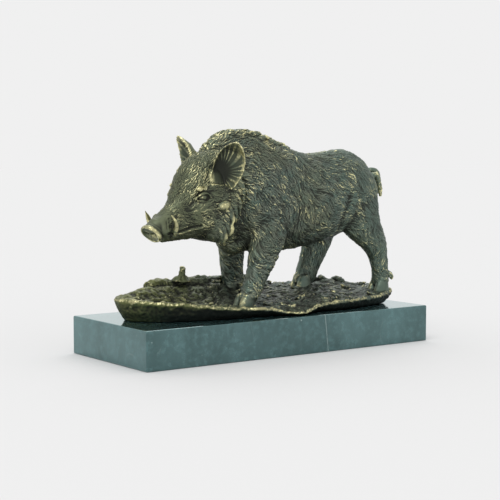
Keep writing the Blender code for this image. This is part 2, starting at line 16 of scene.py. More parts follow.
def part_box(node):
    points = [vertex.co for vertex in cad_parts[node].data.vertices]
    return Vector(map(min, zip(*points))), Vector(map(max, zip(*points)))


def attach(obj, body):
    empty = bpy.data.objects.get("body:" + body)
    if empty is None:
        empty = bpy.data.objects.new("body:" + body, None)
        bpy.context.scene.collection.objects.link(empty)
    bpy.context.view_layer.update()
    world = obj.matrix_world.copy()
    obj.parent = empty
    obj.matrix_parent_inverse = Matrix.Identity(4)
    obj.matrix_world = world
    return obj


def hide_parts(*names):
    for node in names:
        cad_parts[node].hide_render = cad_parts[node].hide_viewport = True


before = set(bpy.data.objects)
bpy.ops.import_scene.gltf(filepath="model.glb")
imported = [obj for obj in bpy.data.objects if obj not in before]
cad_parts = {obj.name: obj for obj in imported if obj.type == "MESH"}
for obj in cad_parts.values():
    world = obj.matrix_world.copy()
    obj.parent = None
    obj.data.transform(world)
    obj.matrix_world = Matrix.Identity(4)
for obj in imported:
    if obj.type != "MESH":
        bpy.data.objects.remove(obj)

bl_info = {
    "name": "Bronze Boar on a Plinth",
    "version": (1, 0, 0),
    "blender": (4, 5, 0),
    "location": "View3D > Sidebar > Boar",
    "description": "A cast bronze boar with its ground, on a marble plinth",
    "category": "Object",
}

UNIT = 0.001
SEAT_GAP = 0.0003
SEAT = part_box("marble_plinth")[1][2] + SEAT_GAP
CREST = (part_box("bronze_boar")[1][2] - SEAT) / UNIT

# Trunk stations: x, crest height, belly height, half width, sideways middle, ridge sharpness
TRUNK = [
    (-58, 124, 76, 17, -9.5, 0.30),
    (-46, 138, 62, 21, -6.5, 0.42),
    (-35, 144.5, 56, 22.5, -4.2, 0.48),
    (-22, 146.3, 51.5, 26.5, -3, 0.55),
    (-8, 144, 49.5, 29.5, -3, 0.52),
    (6, 139.3, 48.5, 30, -3, 0.46),
    (20, 134.5, 48.8, 30.5, -3, 0.38),
    (36, 129, 50.2, 31, -3, 0.32),
    (51, 127, 52, 31, -3, 0.30),
    (65, 128, 55, 30, -3, 0.28),
    (80, 130.6, 60, 28.5, -3, 0.26),
    (93, 129.3, 66, 27, -3, 0.24),
    (103, 124, 71, 24, -3, 0.20),
    (110.5, 116.5, 75, 19.5, -3, 0.15),
    (116, 107.5, 81, 13, -3, 0.10),
    (118.5, 99, 89, 5, -3, 0),
]

# The head turns to the boar's left and tips to that side
HEAD_ORIGIN = (-45, -6, 0)
HEAD_TURN = radians(16)
HEAD_ROLL = radians(5.5)
HEAD_ROLL_HEIGHT = 95
# Head stations: top point (forward, up), bottom point (forward, up), half width, share where it is widest
HEAD = [
    (-12, 126, -12, 62, 17, 0.45),
    (2, 130, 2, 59, 21, 0.44),
    (13, 129, 12, 59.5, 21, 0.42),
    (23, 125, 19.5, 61, 19, 0.44),
    (33, 119, 26.5, 62, 16.8, 0.46),
    (40, 109, 33, 62, 14.2, 0.47),
    (44.5, 98, 40, 61.6, 11.9, 0.47),
    (50.5, 89.5, 46.5, 61, 11, 0.48),
    (58, 83.2, 52.5, 60.6, 10, 0.50),
    (65.5, 79.2, 57, 60.4, 9, 0.50),
    (70, 77, 59.5, 60.6, 8, 0.50),
]
HEAD_SQUARE = 0.8
SNOUT_MIDDLE = (69.6, 0, 67.4)
SNOUT_RADIUS = 8.5
SNOUT_LEAN = radians(44)
NOSTRIL_APART = 3.6
EYE = (31.4, 14.9, 95.4)
EYE_RADIUS = 3.9

# Each ear, left then right: root, tip, how far its opening turns outwards, and how deep its cup is
EARS = {
    1: ((18, 22, 104), (17.5, 33.5, 138.5), radians(38), 0.72),
    -1: ((13.5, -18, 104.5), (15, -29, 138), radians(34), 0.9),
}
EAR_HALF_WIDTH = 11.6
EAR_WALL = 1.6
# The ear's half width along its length, as shares
EAR_OUTLINE = [
    (0, 0.66), (0.12, 0.86), (0.28, 1), (0.45, 1.03), (0.62, 0.96), (0.78, 0.78), (0.9, 0.52), (0.97, 0.28),
    (1, 0.12),
]

# Tusk path on the left side: forward, sideways, height, radius
TUSK = [
    (54.5, 8, 66, 2.3), (56.5, 11.5, 68.5, 2.2), (57.2, 13.2, 72, 1.95), (58.4, 14, 75.6, 1.65),
    (60.6, 14, 79, 1.25),
    (63.8, 13.3, 82.6, 0.5),
]

# Legs: rows of x, y, z, half length fore and aft, half width, from the trunk down to the pastern
LEGS = {
    "left_fore": [
        (2, -15, 108, 20, 12.5), (1, -18.5, 88, 19, 13), (-2, -20.5, 70, 17.5, 11.5),
        (-5.5, -21.5, 55, 15.5, 9.5),
        (-10.5, -22, 40, 11.5, 8.2), (-16, -22.5, 29, 9.4, 7.4), (-20.5, -23, 20, 8.6, 7),
        (-24.5, -23, 12.5, 8, 6.8),
        (-27, -23, 8, 7.2, 6.4),
    ],
    "right_fore": [
        (-6, 9, 108, 18, 12.5), (-9, 13, 86, 17, 12), (-12, 14.5, 66, 14.5, 10.5), (-14, 15, 51, 11, 8.8),
        (-13.5, 15.5, 38, 9.6, 8), (-12.5, 16, 28, 9.2, 7.4), (-12.5, 16, 20, 9, 7.2),
        (-13.5, 16, 14, 8, 6.8),
    ],
    "left_hind": [
        (89.5, -13, 106, 20, 13), (92.5, -16, 90, 20.5, 13), (94.5, -18, 74, 19.5, 12),
        (99, -18.5, 62, 19.5, 10.5),
        (102.8, -19, 57, 18, 9.5), (109.4, -20, 48, 12.4, 8.2), (112.9, -20.5, 41, 9.2, 7.2),
        (115, -20.5, 33, 7.9, 6.8),
        (116, -20.5, 24, 7.2, 6.6), (116, -20.5, 15, 7.6, 6.6),
    ],
    "right_hind": [
        (84, 8, 106, 20, 12.5), (82, 11.5, 88, 19.5, 13), (79, 13.5, 70, 17.5, 11.5),
        (76, 14.5, 55, 14.8, 9.6),
        (72.5, 14.5, 44, 12.8, 8.2), (67, 14.5, 33, 11, 7.4), (63, 14.5, 24, 10.2, 7),
        (60.5, 14.5, 17, 9.4, 6.6),
    ],
}
# Each hoof: x, y and height of the ground under it
HOOVES = [(-29, -23, 6.8), (-17, 16, 14), (113.5, -20.5, 11.5), (57, 14.5, 14.5)]
HOOF_LENGTH = 15.5
HOOF_HALF_WIDTH = 4.0
HOOF_HEIGHT = 10

# Muscle masses: middle, half sizes
MASSES = [
    ((-3, -16.5, 88), (22, 14, 28)),
    ((-5, 10.5, 88), (22, 14, 28)),
    ((93, -13.5, 91), (19, 14, 25)),
    ((91.5, 7.5, 91), (19, 14, 25)),
    ((-24, -3, 64), (17, 13, 17)),
    ((104, -15, 80), (10.5, 11, 22)),
]
# On the head, on both sides: cheek bone, jowl, and the flesh beside the snout
HEAD_MASSES = [
    ((22, 12, 84), (18, 8, 17)),
    ((9, 12.5, 74), (15, 9.5, 15)),
    ((59, 6.4, 70.5), (9, 3.8, 6)),
]
# Small forms on both sides of the head: middle, half sizes, tilt
HEAD_DETAILS = [
    ((32.5, 14, 102), (5, 2.0, 1.6), radians(12)),
    (EYE, (EYE_RADIUS, EYE_RADIUS * 0.72, EYE_RADIUS * 0.9), 0),
    ((11.5, 20.8, 89), (7, 2.9, 3.1), radians(8)),
    ((55, 11.2, 74.5), (2.4, 2.2, 5.5), radians(-20)),
]
# Eyelids as tubes: forward, sideways, height, radius
EYELIDS = [
    [
        (38.5, 13.4, 93.2, 0.5), (35, 15.6, 97, 0.8), (31.2, 16.6, 98.6, 0.95), (27.6, 17.2, 97.9, 0.85),
        (24.6, 17.3, 95.6, 0.5),
    ],
    [
        (38.5, 13.4, 93.2, 0.5), (34.6, 15.8, 92.7, 0.75), (30.8, 16.7, 92.1, 0.8), (27.4, 17.2, 93, 0.75),
        (24.6, 17.3, 95.6, 0.5),
    ],
]
# Raised locks at the back of the jowl: forward, sideways, height, radius
JOWL_LOCKS = [
    [(4, 20.5, 84, 1.0), (2.6, 23.4, 79, 1.6), (2.8, 22.8, 74, 0.6)],
    [(4, 20.5, 76, 1.0), (2.8, 23, 71, 1.8), (4, 21.8, 65, 0.6)],
    [(9, 19.5, 69, 1.4), (7.2, 20.6, 64, 2.0), (7.2, 18.6, 58.5, 0.7)],
]
# Hollows pressed into the head's flesh, both sides: path points, reach, depth
HEAD_HOLLOWS = [
    ([(35, 15, 94.8), (28.5, 16, 95.8)], 4.6, 1.1),
    ([(52, 9, 82), (44, 12, 86)], 6, 1.2),
]
BODY_HOLLOWS = [
    ([(-33, -25, 102), (-34, -24, 86), (-32, -22, 70), (-28, -18, 58)], 7, 4.2),
    ([(-35, 18, 100), (-35, 17, 84), (-33, 15, 68)], 9, 2.2),
    ([(-34, -26, 112), (-30, -26, 96), (-28, -25, 80), (-25, -22, 66)], 5, 1.8),
    ([(74, -32, 92), (70, -33, 82), (67, -32, 72), (69, -30, 62)], 4, 1.9),
    ([(22, -34, 82), (19, -34, 70), (15, -32, 58)], 6, 0.8),
]
MOUTH = [
    (60, 10, 67.2), (55, 12, 67.8), (49, 13, 68.6), (42, 14.5, 69.8), (36.5, 15.5, 71.6), (32.5, 16, 73.6),
]
# Fine hollows on the head, cut last, both sides: path points, reach, depth
HEAD_CUTS = [
    (MOUTH, 1.2, 1.7),
    ([(32.6, 18, 95.5)], 0.9, 0.5),
    (
        [(36.4, 15.6, 94.6), (34, 17, 96.3), (31.2, 17.6, 97), (28.4, 17.8, 96.6), (26.4, 17.8, 95.6)], 0.6,
        0.9,
    ),
    ([(36.4, 15.6, 94.2), (34, 17, 93.9), (31, 17.6, 93.5), (28.2, 17.8, 94), (26.4, 17.8, 95.2)], 0.6, 0.8),
    ([(62, 6.5, 76), (63, 9, 72), (62, 9.5, 68)], 0.7, 0.4),
    ([(59, 7, 79), (60, 8.5, 76), (60.5, 10, 72)], 0.7, 0.4),
    ([(38, 14, 92), (42, 12.5, 89.5)], 1.3, 0.4),
]
# Ridges on the head, raised last, both sides
HEAD_RIDGES = [
    ([(56, 11, 65.2), (49, 12.4, 66.4), (42, 13.8, 67.6), (36, 15, 69.2), (31, 16.4, 71.6)], 1.3, 0.5),
    ([(62, 9, 70), (57, 12, 71)], 1.4, 0.5),
]
NOSTRIL_HOLLOW = (1.9, 4.2)

# The ground: outline of its rim and of its foot, and the rim's height by compass angle
RIM_LEFT, RIM_RIGHT, RIM_FRONT, RIM_BACK = 130, 130, 45, 43
FOOT_INSET = 9
TONGUE_ANGLE, TONGUE_WIDTH, TONGUE_REACH = radians(-80), 0.32, 4.3
CORNER_ANGLE, CORNER_WIDTH, CORNER_REACH = radians(-11), 0.06, 3.5
RIM_HEIGHT = [
    (-180, 17.5), (-172, 16.5), (-160, 14), (-148, 10.5), (-135, 8.8), (-112, 7.2), (-97, 4.4), (-84, 2.5),
    (-73, 2.7), (-65, 4.4), (-56, 6.8), (-40, 8.2), (-20, 8.8), (-9, 12), (20, 13), (60, 15), (100, 16),
    (140, 17), (165, 18), (180, 17.5),
]
GROUND_SLOPE = (11.4, 0.14, 0.03)
# Mounds on the ground: x, y, height, radius
MOUNDS = [
    (-112, 9, 12, 14), (-121, 5, 6, 9), (-92, 14, 12, 17), (-62, 15, 11, 17), (-34, 15, 9.5, 15),
    (-10, 18, 8, 14), (40, -5, 1.5, 16),
    (88, 14, 3, 12),
]
LOG_START, LOG_END, LOG_RADIUS = (-92, 18, 22), (4, 24, 22.5), 6.4
STUB_FOOT, STUB_TIP, STUB_RADIUS = (-62, 16, 26), (-61.5, 14.5, 36.6), 2.9
# Stones on the ground: x, y, z, radius
STONES = [(76, 24, 19, 5.5), (85, 20, 18.5, 5), (97, 12, 17.5, 5.5), (69, 29, 19, 4.2)]
TAIL_MIDDLE, TAIL_TURN_RADIUS, TAIL_RADIUS = (121.5, -2.5, 107.5), 5.6, 2.6

# Planes across X, in metres, that keep each carved piece under 200,000 triangles
BOAR_CUTS = (-0.026, 0.046)
GROUND_CUTS = (0.0,)

# Where the bronze is rubbed bright: how far from its path, and how much
RUBS = {
    "tusk": (2.6, 0.9),
    "bright": (2.4, 0.85),
    "ear_rim": (2.8, 0.8),
    "snout_rim": (2.2, 0.7),
    "snout_disc": (6.5, 0.65),
    "hoof": (8, 0.5),
    "tail": (2.6, 0.35),
    "ground_rim": (1.5, 0.66),
}
# The flesh before its features are added: size of its squares in millimetres, rounds of smoothing
FLESH_VOXEL, FLESH_SMOOTHINGS = 1.2, 18
# How softly the skin is held under the crest's height
CREST_SOFTNESS = 0.9
LITTER_SEED, CLOD_SEED, HAIR_SEED = 7, 23, 11

# The photograph's camera: its place, the way back to it from the object, and its lens for a 36 mm sensor
CAMERA_PLACE = (-0.6043, -0.8306, 0.1560)
CAMERA_BACK = (-0.5829, -0.8091, 0.0746)
CAMERA_LENS = 91.3


class BoarSettings(bpy.types.PropertyGroup):
    skin_voxel: FloatProperty(
        name="Skin detail", description="Size of the skin's squares before it is carved", default=0.00056,
        unit="LENGTH", precision=5,
    )
    lock_length: FloatProperty(
        name="Lock length", description="Length of a lock of hair on the shoulder", default=0.0082,
        unit="LENGTH", precision=4,
    )
    lock_width: FloatProperty(
        name="Lock width", description="Half width of a lock of hair on the shoulder", default=0.00100,
        unit="LENGTH", precision=5,
    )
    lock_height: FloatProperty(
        name="Lock height", description="How far a lock's tip stands out of the skin", default=0.00062,
        unit="LENGTH", precision=5,
    )
    clumps: IntProperty(
        name="Clumps", description="Number of broad clumps that the locks lie on", default=2600, min=0,
    )
    locks: IntProperty(
        name="Locks", description="Number of locks of hair on the whole boar", default=15000, min=0,
    )
    strands: IntProperty(
        name="Strands", description="Number of fine strands over the locks", default=9000, min=0,
    )
    patina: FloatVectorProperty(
        name="Patina", description="Colour of the green grey patina", default=(0.116, 0.136, 0.107),
        subtype="COLOR",
    )
    worn: FloatVectorProperty(
        name="Worn", description="Colour of the bronze where it is rubbed bright",
        default=(0.56, 0.53, 0.29), subtype="COLOR",
    )
    # The dark patina of the hollows, also used as painted shade in hollows and on undersides.
    recess_patina_and_shade: FloatVectorProperty(
        name="Recess", description="Colour of the dark patina in the hollows",
        default=(0.020, 0.022, 0.018), subtype="COLOR",
    )


class GroundSettings(bpy.types.PropertyGroup):
    skin_voxel: FloatProperty(
        name="Skin detail", description="Size of the ground's squares", default=0.00062, unit="LENGTH",
        precision=5,
    )
    leaves: IntProperty(name="Leaves", description="Number of larger fallen leaves", default=150, min=0)
    leaf_length: FloatProperty(
        name="Leaf length", description="Half length of a leaf", default=0.0034, unit="LENGTH", precision=4,
    )
    clods: IntProperty(
        name="Clods", description="Number of small leaves and clods in low relief", default=5200, min=0,
    )


class PlinthSettings(bpy.types.PropertyGroup):
    stone: FloatVectorProperty(
        name="Stone", description="Main colour of the marble", default=(0.108, 0.215, 0.222),
        subtype="COLOR",
    )
    cloud: FloatVectorProperty(
        name="Cloud", description="Colour of the marble's darker clouds", default=(0.045, 0.100, 0.100),
        subtype="COLOR",
    )
    vein: FloatVectorProperty(
        name="Vein", description="Colour of the marble's thin veins", default=(0.42, 0.52, 0.50),
        subtype="COLOR",
    )


class StageSettings(bpy.types.PropertyGroup):
    floor: FloatVectorProperty(
        name="Floor", description="Colour of the floor", default=(0.679, 0.679, 0.679), subtype="COLOR",
    )
    surround: FloatProperty(
        name="Surround", description="Brightness of the white surround", default=0.871, min=0,
    )
    key: FloatProperty(
        name="Key light", description="Strength of the soft light above and in front", default=1.1, min=0,
    )
    back: FloatProperty(
        name="Back light", description="Strength of the soft light behind", default=0.5, min=0,
    )


class Signal:
    """A socket of a material: arithmetic on it adds Math nodes."""

    def __init__(self, look, socket):
        self.look, self.socket = look, socket

    def __add__(self, other):
        return self.look.maths("ADD", self, other)

    __radd__ = __add__

    def __mul__(self, other):
        return self.look.maths("MULTIPLY", self, other)

    __rmul__ = __mul__

    def __sub__(self, other):
        return self.look.maths("SUBTRACT", self, other)

    def __rsub__(self, other):
        return self.look.maths("SUBTRACT", other, self)

    def over(self, low, high):
        """0 below low and 1 above high, with a soft turn between."""
        return self.look.node(
            "ShaderNodeMapRange", {"interpolation_type": "SMOOTHSTEP"},
            {"Value": self, "From Min": low, "From Max": high},
        )

    def blend(self, first, second):
        """A colour between two, by this share."""
        return self.look.node("ShaderNodeMix", {"data_type": "RGBA"}, {0: self, 6: first, 7: second}, 2)


class Look:
    """A node-based material."""

    def __init__(self, name):
        self.material = bpy.data.materials.new(name)
        self.material.use_nodes = True
        self.tree = self.material.node_tree
        self.surface = self.tree.nodes["Principled BSDF"]

    def node(self, kind, settings, values, output=0):
        """Any node: its settings first, then what its sockets take."""
        made = self.tree.nodes.new(kind)
        for name, value in settings.items():
            setattr(made, name, value)
        for name, value in values.items():
            self.feed(made.inputs[name], value)
        return Signal(self, made.outputs[output])

    def feed(self, socket, value):
        if isinstance(value, Signal):
            self.tree.links.new(value.socket, socket)
        else:
            opaque = isinstance(value, tuple) and len(value) == 3 and socket.type == "RGBA"
            socket.default_value = (*value, 1) if opaque else value

    def maths(self, operation, first, second):
        return self.node("ShaderNodeMath", {"operation": operation}, {0: first, 1: second})

    def place(self, scale=(1, 1, 1), turn=(0, 0, 0)):
        """Object coordinates, in metres times a scale."""
        coordinates = self.node("ShaderNodeTexCoord", {}, {}, 3)
        return self.node("ShaderNodeMapping", {}, {"Vector": coordinates, "Scale": scale, "Rotation": turn})

    def cloud(self, where, scale, detail=3.0, roughness=0.5, distortion=0.0):
        return self.node("ShaderNodeTexNoise", {}, {
            "Vector": where, "Scale": scale, "Detail": detail, "Roughness": roughness,
            "Distortion": distortion,
        })

    def mark(self, name):
        """A value that the mesh carries at each point."""
        return self.node("ShaderNodeAttribute", {"attribute_name": name}, {}, 2)

    def finish(self, **sockets):
        for name, value in sockets.items():
            self.feed(self.surface.inputs[name.replace("_", " ")], value)
        return self.material


def between(rows, steps):
    """The rows with steps smooth (Catmull-Rom) rows from each one to the next."""
    out = []
    for i in range(len(rows) - 1):
        before, here = rows[max(i - 1, 0)], rows[i]
        after, beyond = rows[i + 1], rows[min(i + 2, len(rows) - 1)]
        for k in range(steps):
            t = k / steps
            out.append(tuple(
                b + 0.5 * t * (c - a + t * (2 * a - 5 * b + 4 * c - d + t * (3 * (b - c) + d - a)))
                for a, b, c, d in zip(before, here, after, beyond)
            ))
    return [*out, rows[-1]]


def read_off(rows, at):
    """The second value of rows of (position, value) at a position, on straight lines."""
    for (p, v), (q, w) in zip(rows, rows[1:]):
        if at <= q:
            return v + (w - v) * max(0, at - p) / (q - p)
    return rows[-1][1]


def smooth_step(t):
    t = np.clip(t, 0, 1)
    return t * t * (3 - 2 * t)


def as_mesh(bm):
    """The mesh of a bmesh, with its faces pointing outwards."""
    bmesh.ops.recalc_face_normals(bm, faces=bm.faces)
    mesh = bpy.data.meshes.new("form")
    bm.to_mesh(mesh)
    bm.free()
    return mesh


def loft(rings):
    """A closed skin through rings of points: a capped circle, extruded from ring to ring."""
    bm = bmesh.new()
    ring = bmesh.ops.create_circle(bm, cap_ends=True, radius=1, segments=len(rings[0]))["verts"]
    for v, p in zip(ring, rings[0]):
        v.co = p
    for points in rings[1:]:
        old = set(ring)
        edges = [bm.edges.get((a, b)) for a, b in zip(ring, ring[1:] + ring[:1])]
        grown = bmesh.ops.extrude_edge_only(bm, edges=edges)["geom"]
        partner = {}
        for v in (g for g in grown if isinstance(g, bmesh.types.BMVert)):
            for e in v.link_edges:
                if e.other_vert(v) in old:
                    partner[e.other_vert(v)] = v
        ring = [partner[v] for v in ring]
        for v, p in zip(ring, points):
            v.co = p
    bmesh.ops.contextual_create(bm, geom=ring)
    return as_mesh(bm)


def body_ring(middle, side, up, half_width, top, bottom, wide_at, ridge=0.0, square=1.0):
    """A cross-section: rounded, widest at a share of its height, and drawn in towards a ridge on top."""
    level = bottom + (top - bottom) * wide_at
    points = []
    for i in range(28):
        a = 2 * pi * (i + 0.5) / 28
        rise = copysign(abs(sin(a)) ** square, sin(a))
        out = copysign(abs(cos(a)) ** square, cos(a))
        height = level + rise * (top - level if rise > 0 else level - bottom)
        reach = half_width * out * (1 - ridge * max(rise, 0) ** 1.5)
        points.append(middle + side * reach + up * height)
    return points


def trunk():
    """Neck, chest, belly and rump."""
    return loft([
        body_ring(
            Vector((x, y, 0)), Vector((0, 1, 0)), Vector((0, 0, 1)), half_width, top, bottom, 0.42, ridge,
        )
        for x, top, bottom, half_width, y, ridge in between(TRUNK, 3)
    ])


def tube(path, sides=14, steps=3):
    """A round tapering limb through rows of x, y, z and radius."""
    rows = between(path, steps)
    rings = []
    side = None
    for i, row in enumerate(rows):
        here = Vector(row[:3])
        ahead = Vector(rows[min(i + 1, len(rows) - 1)][:3]) - Vector(rows[max(i - 1, 0)][:3])
        ahead.normalize()
        side = ahead.orthogonal() if side is None else side - ahead * side.dot(ahead)
        side.normalize()
        up = ahead.cross(side)
        rings.append([
            here + (side * cos(a) + up * sin(a)) * row[3]
            for a in (2 * pi * k / sides for k in range(sides))
        ])
    return loft(rings)


def ball(middle, half_sizes, turn=None):
    """An ellipsoid."""
    bm = bmesh.new()
    matrix = Matrix.Translation(middle) @ (turn or Matrix.Identity(4)) @ Matrix.Diagonal((*half_sizes, 1))
    bmesh.ops.create_uvsphere(bm, u_segments=24, v_segments=14, radius=1, matrix=matrix)
    return as_mesh(bm)


def leg(rows):
    return loft([
        [
            Vector((x + half_length * cos(a), y + half_width * sin(a), z))
            for a in (2 * pi * k / 20 for k in range(20))
        ]
        for x, y, z, half_length, half_width in between(rows, 3)
    ])


def hoof(x, y, z):
    """Two toes side by side, sloping at the front, and two dewclaws behind the pastern."""
    made = []
    for side in (-1, 1):
        rings = []
        for rise, back, front, width in (
            (-3, -5, 0.62, 1.05), (0, -5, 0.62, 1.05), (0.45, -4.5, 0.5, 1), (1, -3.5, 0.25, 0.85),
        ):
            level = z + (rise if rise < 0 else rise * HOOF_HEIGHT)
            nose = x - HOOF_LENGTH * front * 0.9 + 1.5
            heel = x - back + 3
            middle, half = (nose + heel) / 2, (heel - nose) / 2
            rings.append([
                Vector((
                    middle + half * cos(a),
                    y + side * HOOF_HALF_WIDTH + HOOF_HALF_WIDTH * width * sin(a),
                    level,
                ))
                for a in (2 * pi * k / 16 for k in range(16))
            ])
        made.append(loft(rings))
        made.append(tube([
            (x + 8, y + side * 3, z + 13.5, 2.6),
            (x + 11, y + side * 3.4, z + 12, 2.1),
            (x + 13.2, y + side * 3.6, z + 9, 0.8),
        ], 10))
    return made


def head_matrix():
    """From the head's own frame (forward, to its left, up) to the figure's."""
    turn = Matrix.Rotation(HEAD_TURN, 4, "Z")
    flip = Matrix(((-1, 0, 0, 0), (0, -1, 0, 0), (0, 0, 1, 0), (0, 0, 0, 1)))
    lift = Matrix.Translation((0, 0, HEAD_ROLL_HEIGHT))
    roll = lift @ Matrix.Rotation(-HEAD_ROLL, 4, "X") @ lift.inverted()
    return Matrix.Translation(HEAD_ORIGIN) @ turn @ flip @ roll


def ear_frame(side):
    """The ear's root, its length, and the ways along it, out of its opening and across it."""
    root, tip, turn_out, _ = EARS[side]
    root, tip = Vector(root), Vector(tip)
    along = (tip - root).normalized()
    opening = Vector((cos(turn_out), side * sin(turn_out), 0))
    opening = (opening - along * opening.dot(along)).normalized()
    return root, (tip - root).length, along, opening, along.cross(opening)


def ear_bow(s):
    """How far the ear leans back at a share of its length."""
    return EAR_HALF_WIDTH * 0.25 * sin(pi * s)


def ear_rim(side):
    """The ear's rim as points, from one side of its root over the tip to the other."""
    root, length, along, opening, across = ear_frame(side)
    edge = []
    for way in (-1, 1):
        part = [
            root + along * (length * s)
            + across * (way * EAR_HALF_WIDTH * read_off(EAR_OUTLINE, s))
            - opening * ear_bow(s)
            for s in (k / 16 for k in range(17))
        ]
        edge += part if way < 0 else part[::-1]
    return edge


def ear(side):
    """A leaf-shaped cup that opens forward and outward, with a thick rim."""
    root, length, along, opening, across = ear_frame(side)
    rings = []
    levels, arcs = 26, 17
    for i in range(levels + 1):
        s = i / levels
        half = EAR_HALF_WIDTH * read_off(EAR_OUTLINE, s)
        depth = EAR_HALF_WIDTH * EARS[side][3] * (1 - 0.66 * s) * min(1, 4 * (1.02 - s))
        centre = root + along * (length * s) - opening * ear_bow(s)
        outer, inner = [], []
        for k in range(arcs):
            a = -1 + 2 * k / (arcs - 1)
            bend = sin(pi * ((1 + a * side) / 2) ** 0.68) ** 0.75
            skin = centre + across * (half * a) - opening * (depth * bend)
            wall = EAR_WALL * (1.25 - 0.35 * bend)
            outer.append(skin - opening * wall - across * (0.4 * a))
            inner.append(skin + opening * wall * 0.5)
        rings.append(outer + inner[::-1])
    return loft(rings)


def skull():
    """The head's flesh from the neck to the snout, in the head's frame."""
    rings = []
    for top_ahead, top, bottom_ahead, bottom, half_width, wide_at in between(HEAD, 3):
        foot = Vector((bottom_ahead, 0, bottom))
        up = Vector((top_ahead, 0, top)) - foot
        rings.append(body_ring(
            foot, Vector((0, 1, 0)), up.normalized(), half_width, up.length, 0, wide_at, 0.1, HEAD_SQUARE,
        ))
    return [loft(rings)] + [
        ball((ahead, side * out, level), sizes)
        for side in (1, -1) for (ahead, out, level), sizes in HEAD_MASSES
    ]


def snout_matrix():
    """From the snout disc's frame (its face looks along +Z, its top is +X) to the head's."""
    return (
        Matrix.Translation(SNOUT_MIDDLE) @ Matrix.Rotation(SNOUT_LEAN + pi / 2, 4, "Y")
        @ Matrix.Rotation(pi, 4, "Z")
    )


def features():
    """Snout disc, ears, tusks, eyes, lids, brows, tufts and jowl locks, in the head's frame."""
    disc = snout_matrix()
    rings = []
    for offset, radius in (
        (-9, 0.8), (-5.6, 0.84), (-4.6, 0.82), (-3.4, 0.88), (-2.4, 0.86), (-1, 1.02), (0.8, 1.06),
        (1.9, 1.0), (2.0, 0.88), (1.4, 0.74), (1.3, 0.3),
    ):
        rings.append([
            disc @ Vector((SNOUT_RADIUS * radius * cos(a) * 0.97, SNOUT_RADIUS * radius * sin(a), offset))
            for a in (2 * pi * k / 36 for k in range(36))
        ])
    made = [loft(rings)]
    for side in (1, -1):
        for (ahead, out, level), sizes, tilt in HEAD_DETAILS:
            made.append(ball((ahead, side * out, level), sizes, Matrix.Rotation(tilt, 4, "Y")))
        for path in (TUSK, *EYELIDS, *JOWL_LOCKS):
            made.append(tube([(a, side * b, c, r) for a, b, c, r in path], 12))
        made.append(ear(side))
    return made


def tail_path():
    """One turn of a corkscrew from the rump, then the tuft hanging down: points and radii."""
    x, y, z = TAIL_MIDDLE
    path = [(x - 14, y, z + 1, 4.2), (x - 9, y + 0.5, z + 4.5, 3.2)]
    for k in range(9):
        a = radians(150 - 40 * k)
        path.append((
            x + TAIL_TURN_RADIUS * cos(a), y + 2.5 - 0.95 * k, z + TAIL_TURN_RADIUS * sin(a), TAIL_RADIUS,
        ))
    return path + [
        (x - 1, y - 6.5, z + 2, 2.2), (x + 2.5, y - 6.5, z - 6, 2.4), (x + 4.4, y - 6, z - 13, 1.9),
        (x + 5, y - 6, z - 17, 0.8),
    ]


def crest_at(x):
    """The trunk's sideways middle and crest height at a place along it."""
    return read_off([(row[0], row[4]) for row in TRUNK], x), read_off([(row[0], row[1]) for row in TRUNK], x)


def mane():
    """Bristle locks along the crest, from between the ears to the middle of the back."""
    made = []
    locks = 52
    for k in range(locks):
        share = k / (locks - 1)
        x = -65 + 88 * share
        middle, crest = crest_at(x)
        lift = (0.8 + 2.2 * abs(sin(1.3 * k)) * abs(sin(0.37 * k + 1))) * (1 - 0.8 * share)
        sway = 4.6 * sin(2.4 * k)
        drop = 0.07 * sway * sway
        made.append(tube([
            (x - 6, middle + sway * 0.6, crest - 5.5 - drop, 3.2),
            (x - 1, middle + sway * 0.9, crest - 3.1 - drop, 2.4),
            (x + 4, middle + sway, crest - 1.7 + lift - drop, 1.5),
            (x + 8.5, middle + sway * 1.15, crest - 1.9 + lift * 0.5 - drop, 0.5),
        ], 10, 2))
    return made


def ruff_locks(side):
    """The fringe of long hair behind one side of the jaw, in the head's frame: points and radii."""
    locks = []
    for k in range(15):
        row = k % 3
        x, y, z = 13.5 - 1.1 * k - 1.6 * row, side * (18 + 0.15 * k + 0.8 * row), 70 + 2.4 * k
        long = (12 + 3 * sin(1.9 * k)) * (1 if side > 0 else 0.75)
        locks.append([
            (x + 4, y - side * 3, z + 5, 3.6), (x, y + side * 1, z - 1, 2.6),
            (x - 0.25 * long, y + side * 0.8, z - 0.6 * long, 1.5),
            (x - 0.4 * long, y - side * 0.8, z - long, 0.5),
        ])
    return locks


def rim_reach(angle):
    """How far the ground's rim is from its middle, in a compass direction."""
    c, s = cos(angle), sin(angle)
    a = RIM_RIGHT if c > 0 else RIM_LEFT
    b = RIM_BACK if s > 0 else RIM_FRONT
    power = 2.0 + 1.0 * smooth_step(c * 1.5 + 0.4)
    reach = (abs(c / a) ** power + abs(s / b) ** power) ** (-1 / power)
    for middle, width, extra in (
        (TONGUE_ANGLE, TONGUE_WIDTH, TONGUE_REACH), (CORNER_ANGLE, CORNER_WIDTH, CORNER_REACH),
    ):
        turned = atan2(sin(angle - middle), cos(angle - middle))
        reach += extra * exp(-((turned / width) ** 2))
    return reach + 0.9 * sin(9 * angle + 1) + 0.7 * sin(17 * angle)


def ground_height(x, y):
    """The ground's upper surface away from the rim."""
    level, sideways, rearward = GROUND_SLOPE
    height = level + sideways * y + rearward * x
    for mx, my, rise, radius in MOUNDS:
        height += rise * exp(-(((x - mx) ** 2 + (y - my) ** 2) / radius ** 2))
    return height + 1.1 * noise.noise(Vector((x, y, 0)) / 9)


def surface_height(x, y):
    """The ground's upper surface, with its fall or rise to the rim."""
    angle = atan2(y, x)
    share = (x * x + y * y) ** 0.5 / rim_reach(angle)
    edge = float(smooth_step((share - 0.7) / 0.3))
    return ground_height(x, y) * (1 - edge) + read_off(RIM_HEIGHT, angle * 180 / pi) * edge


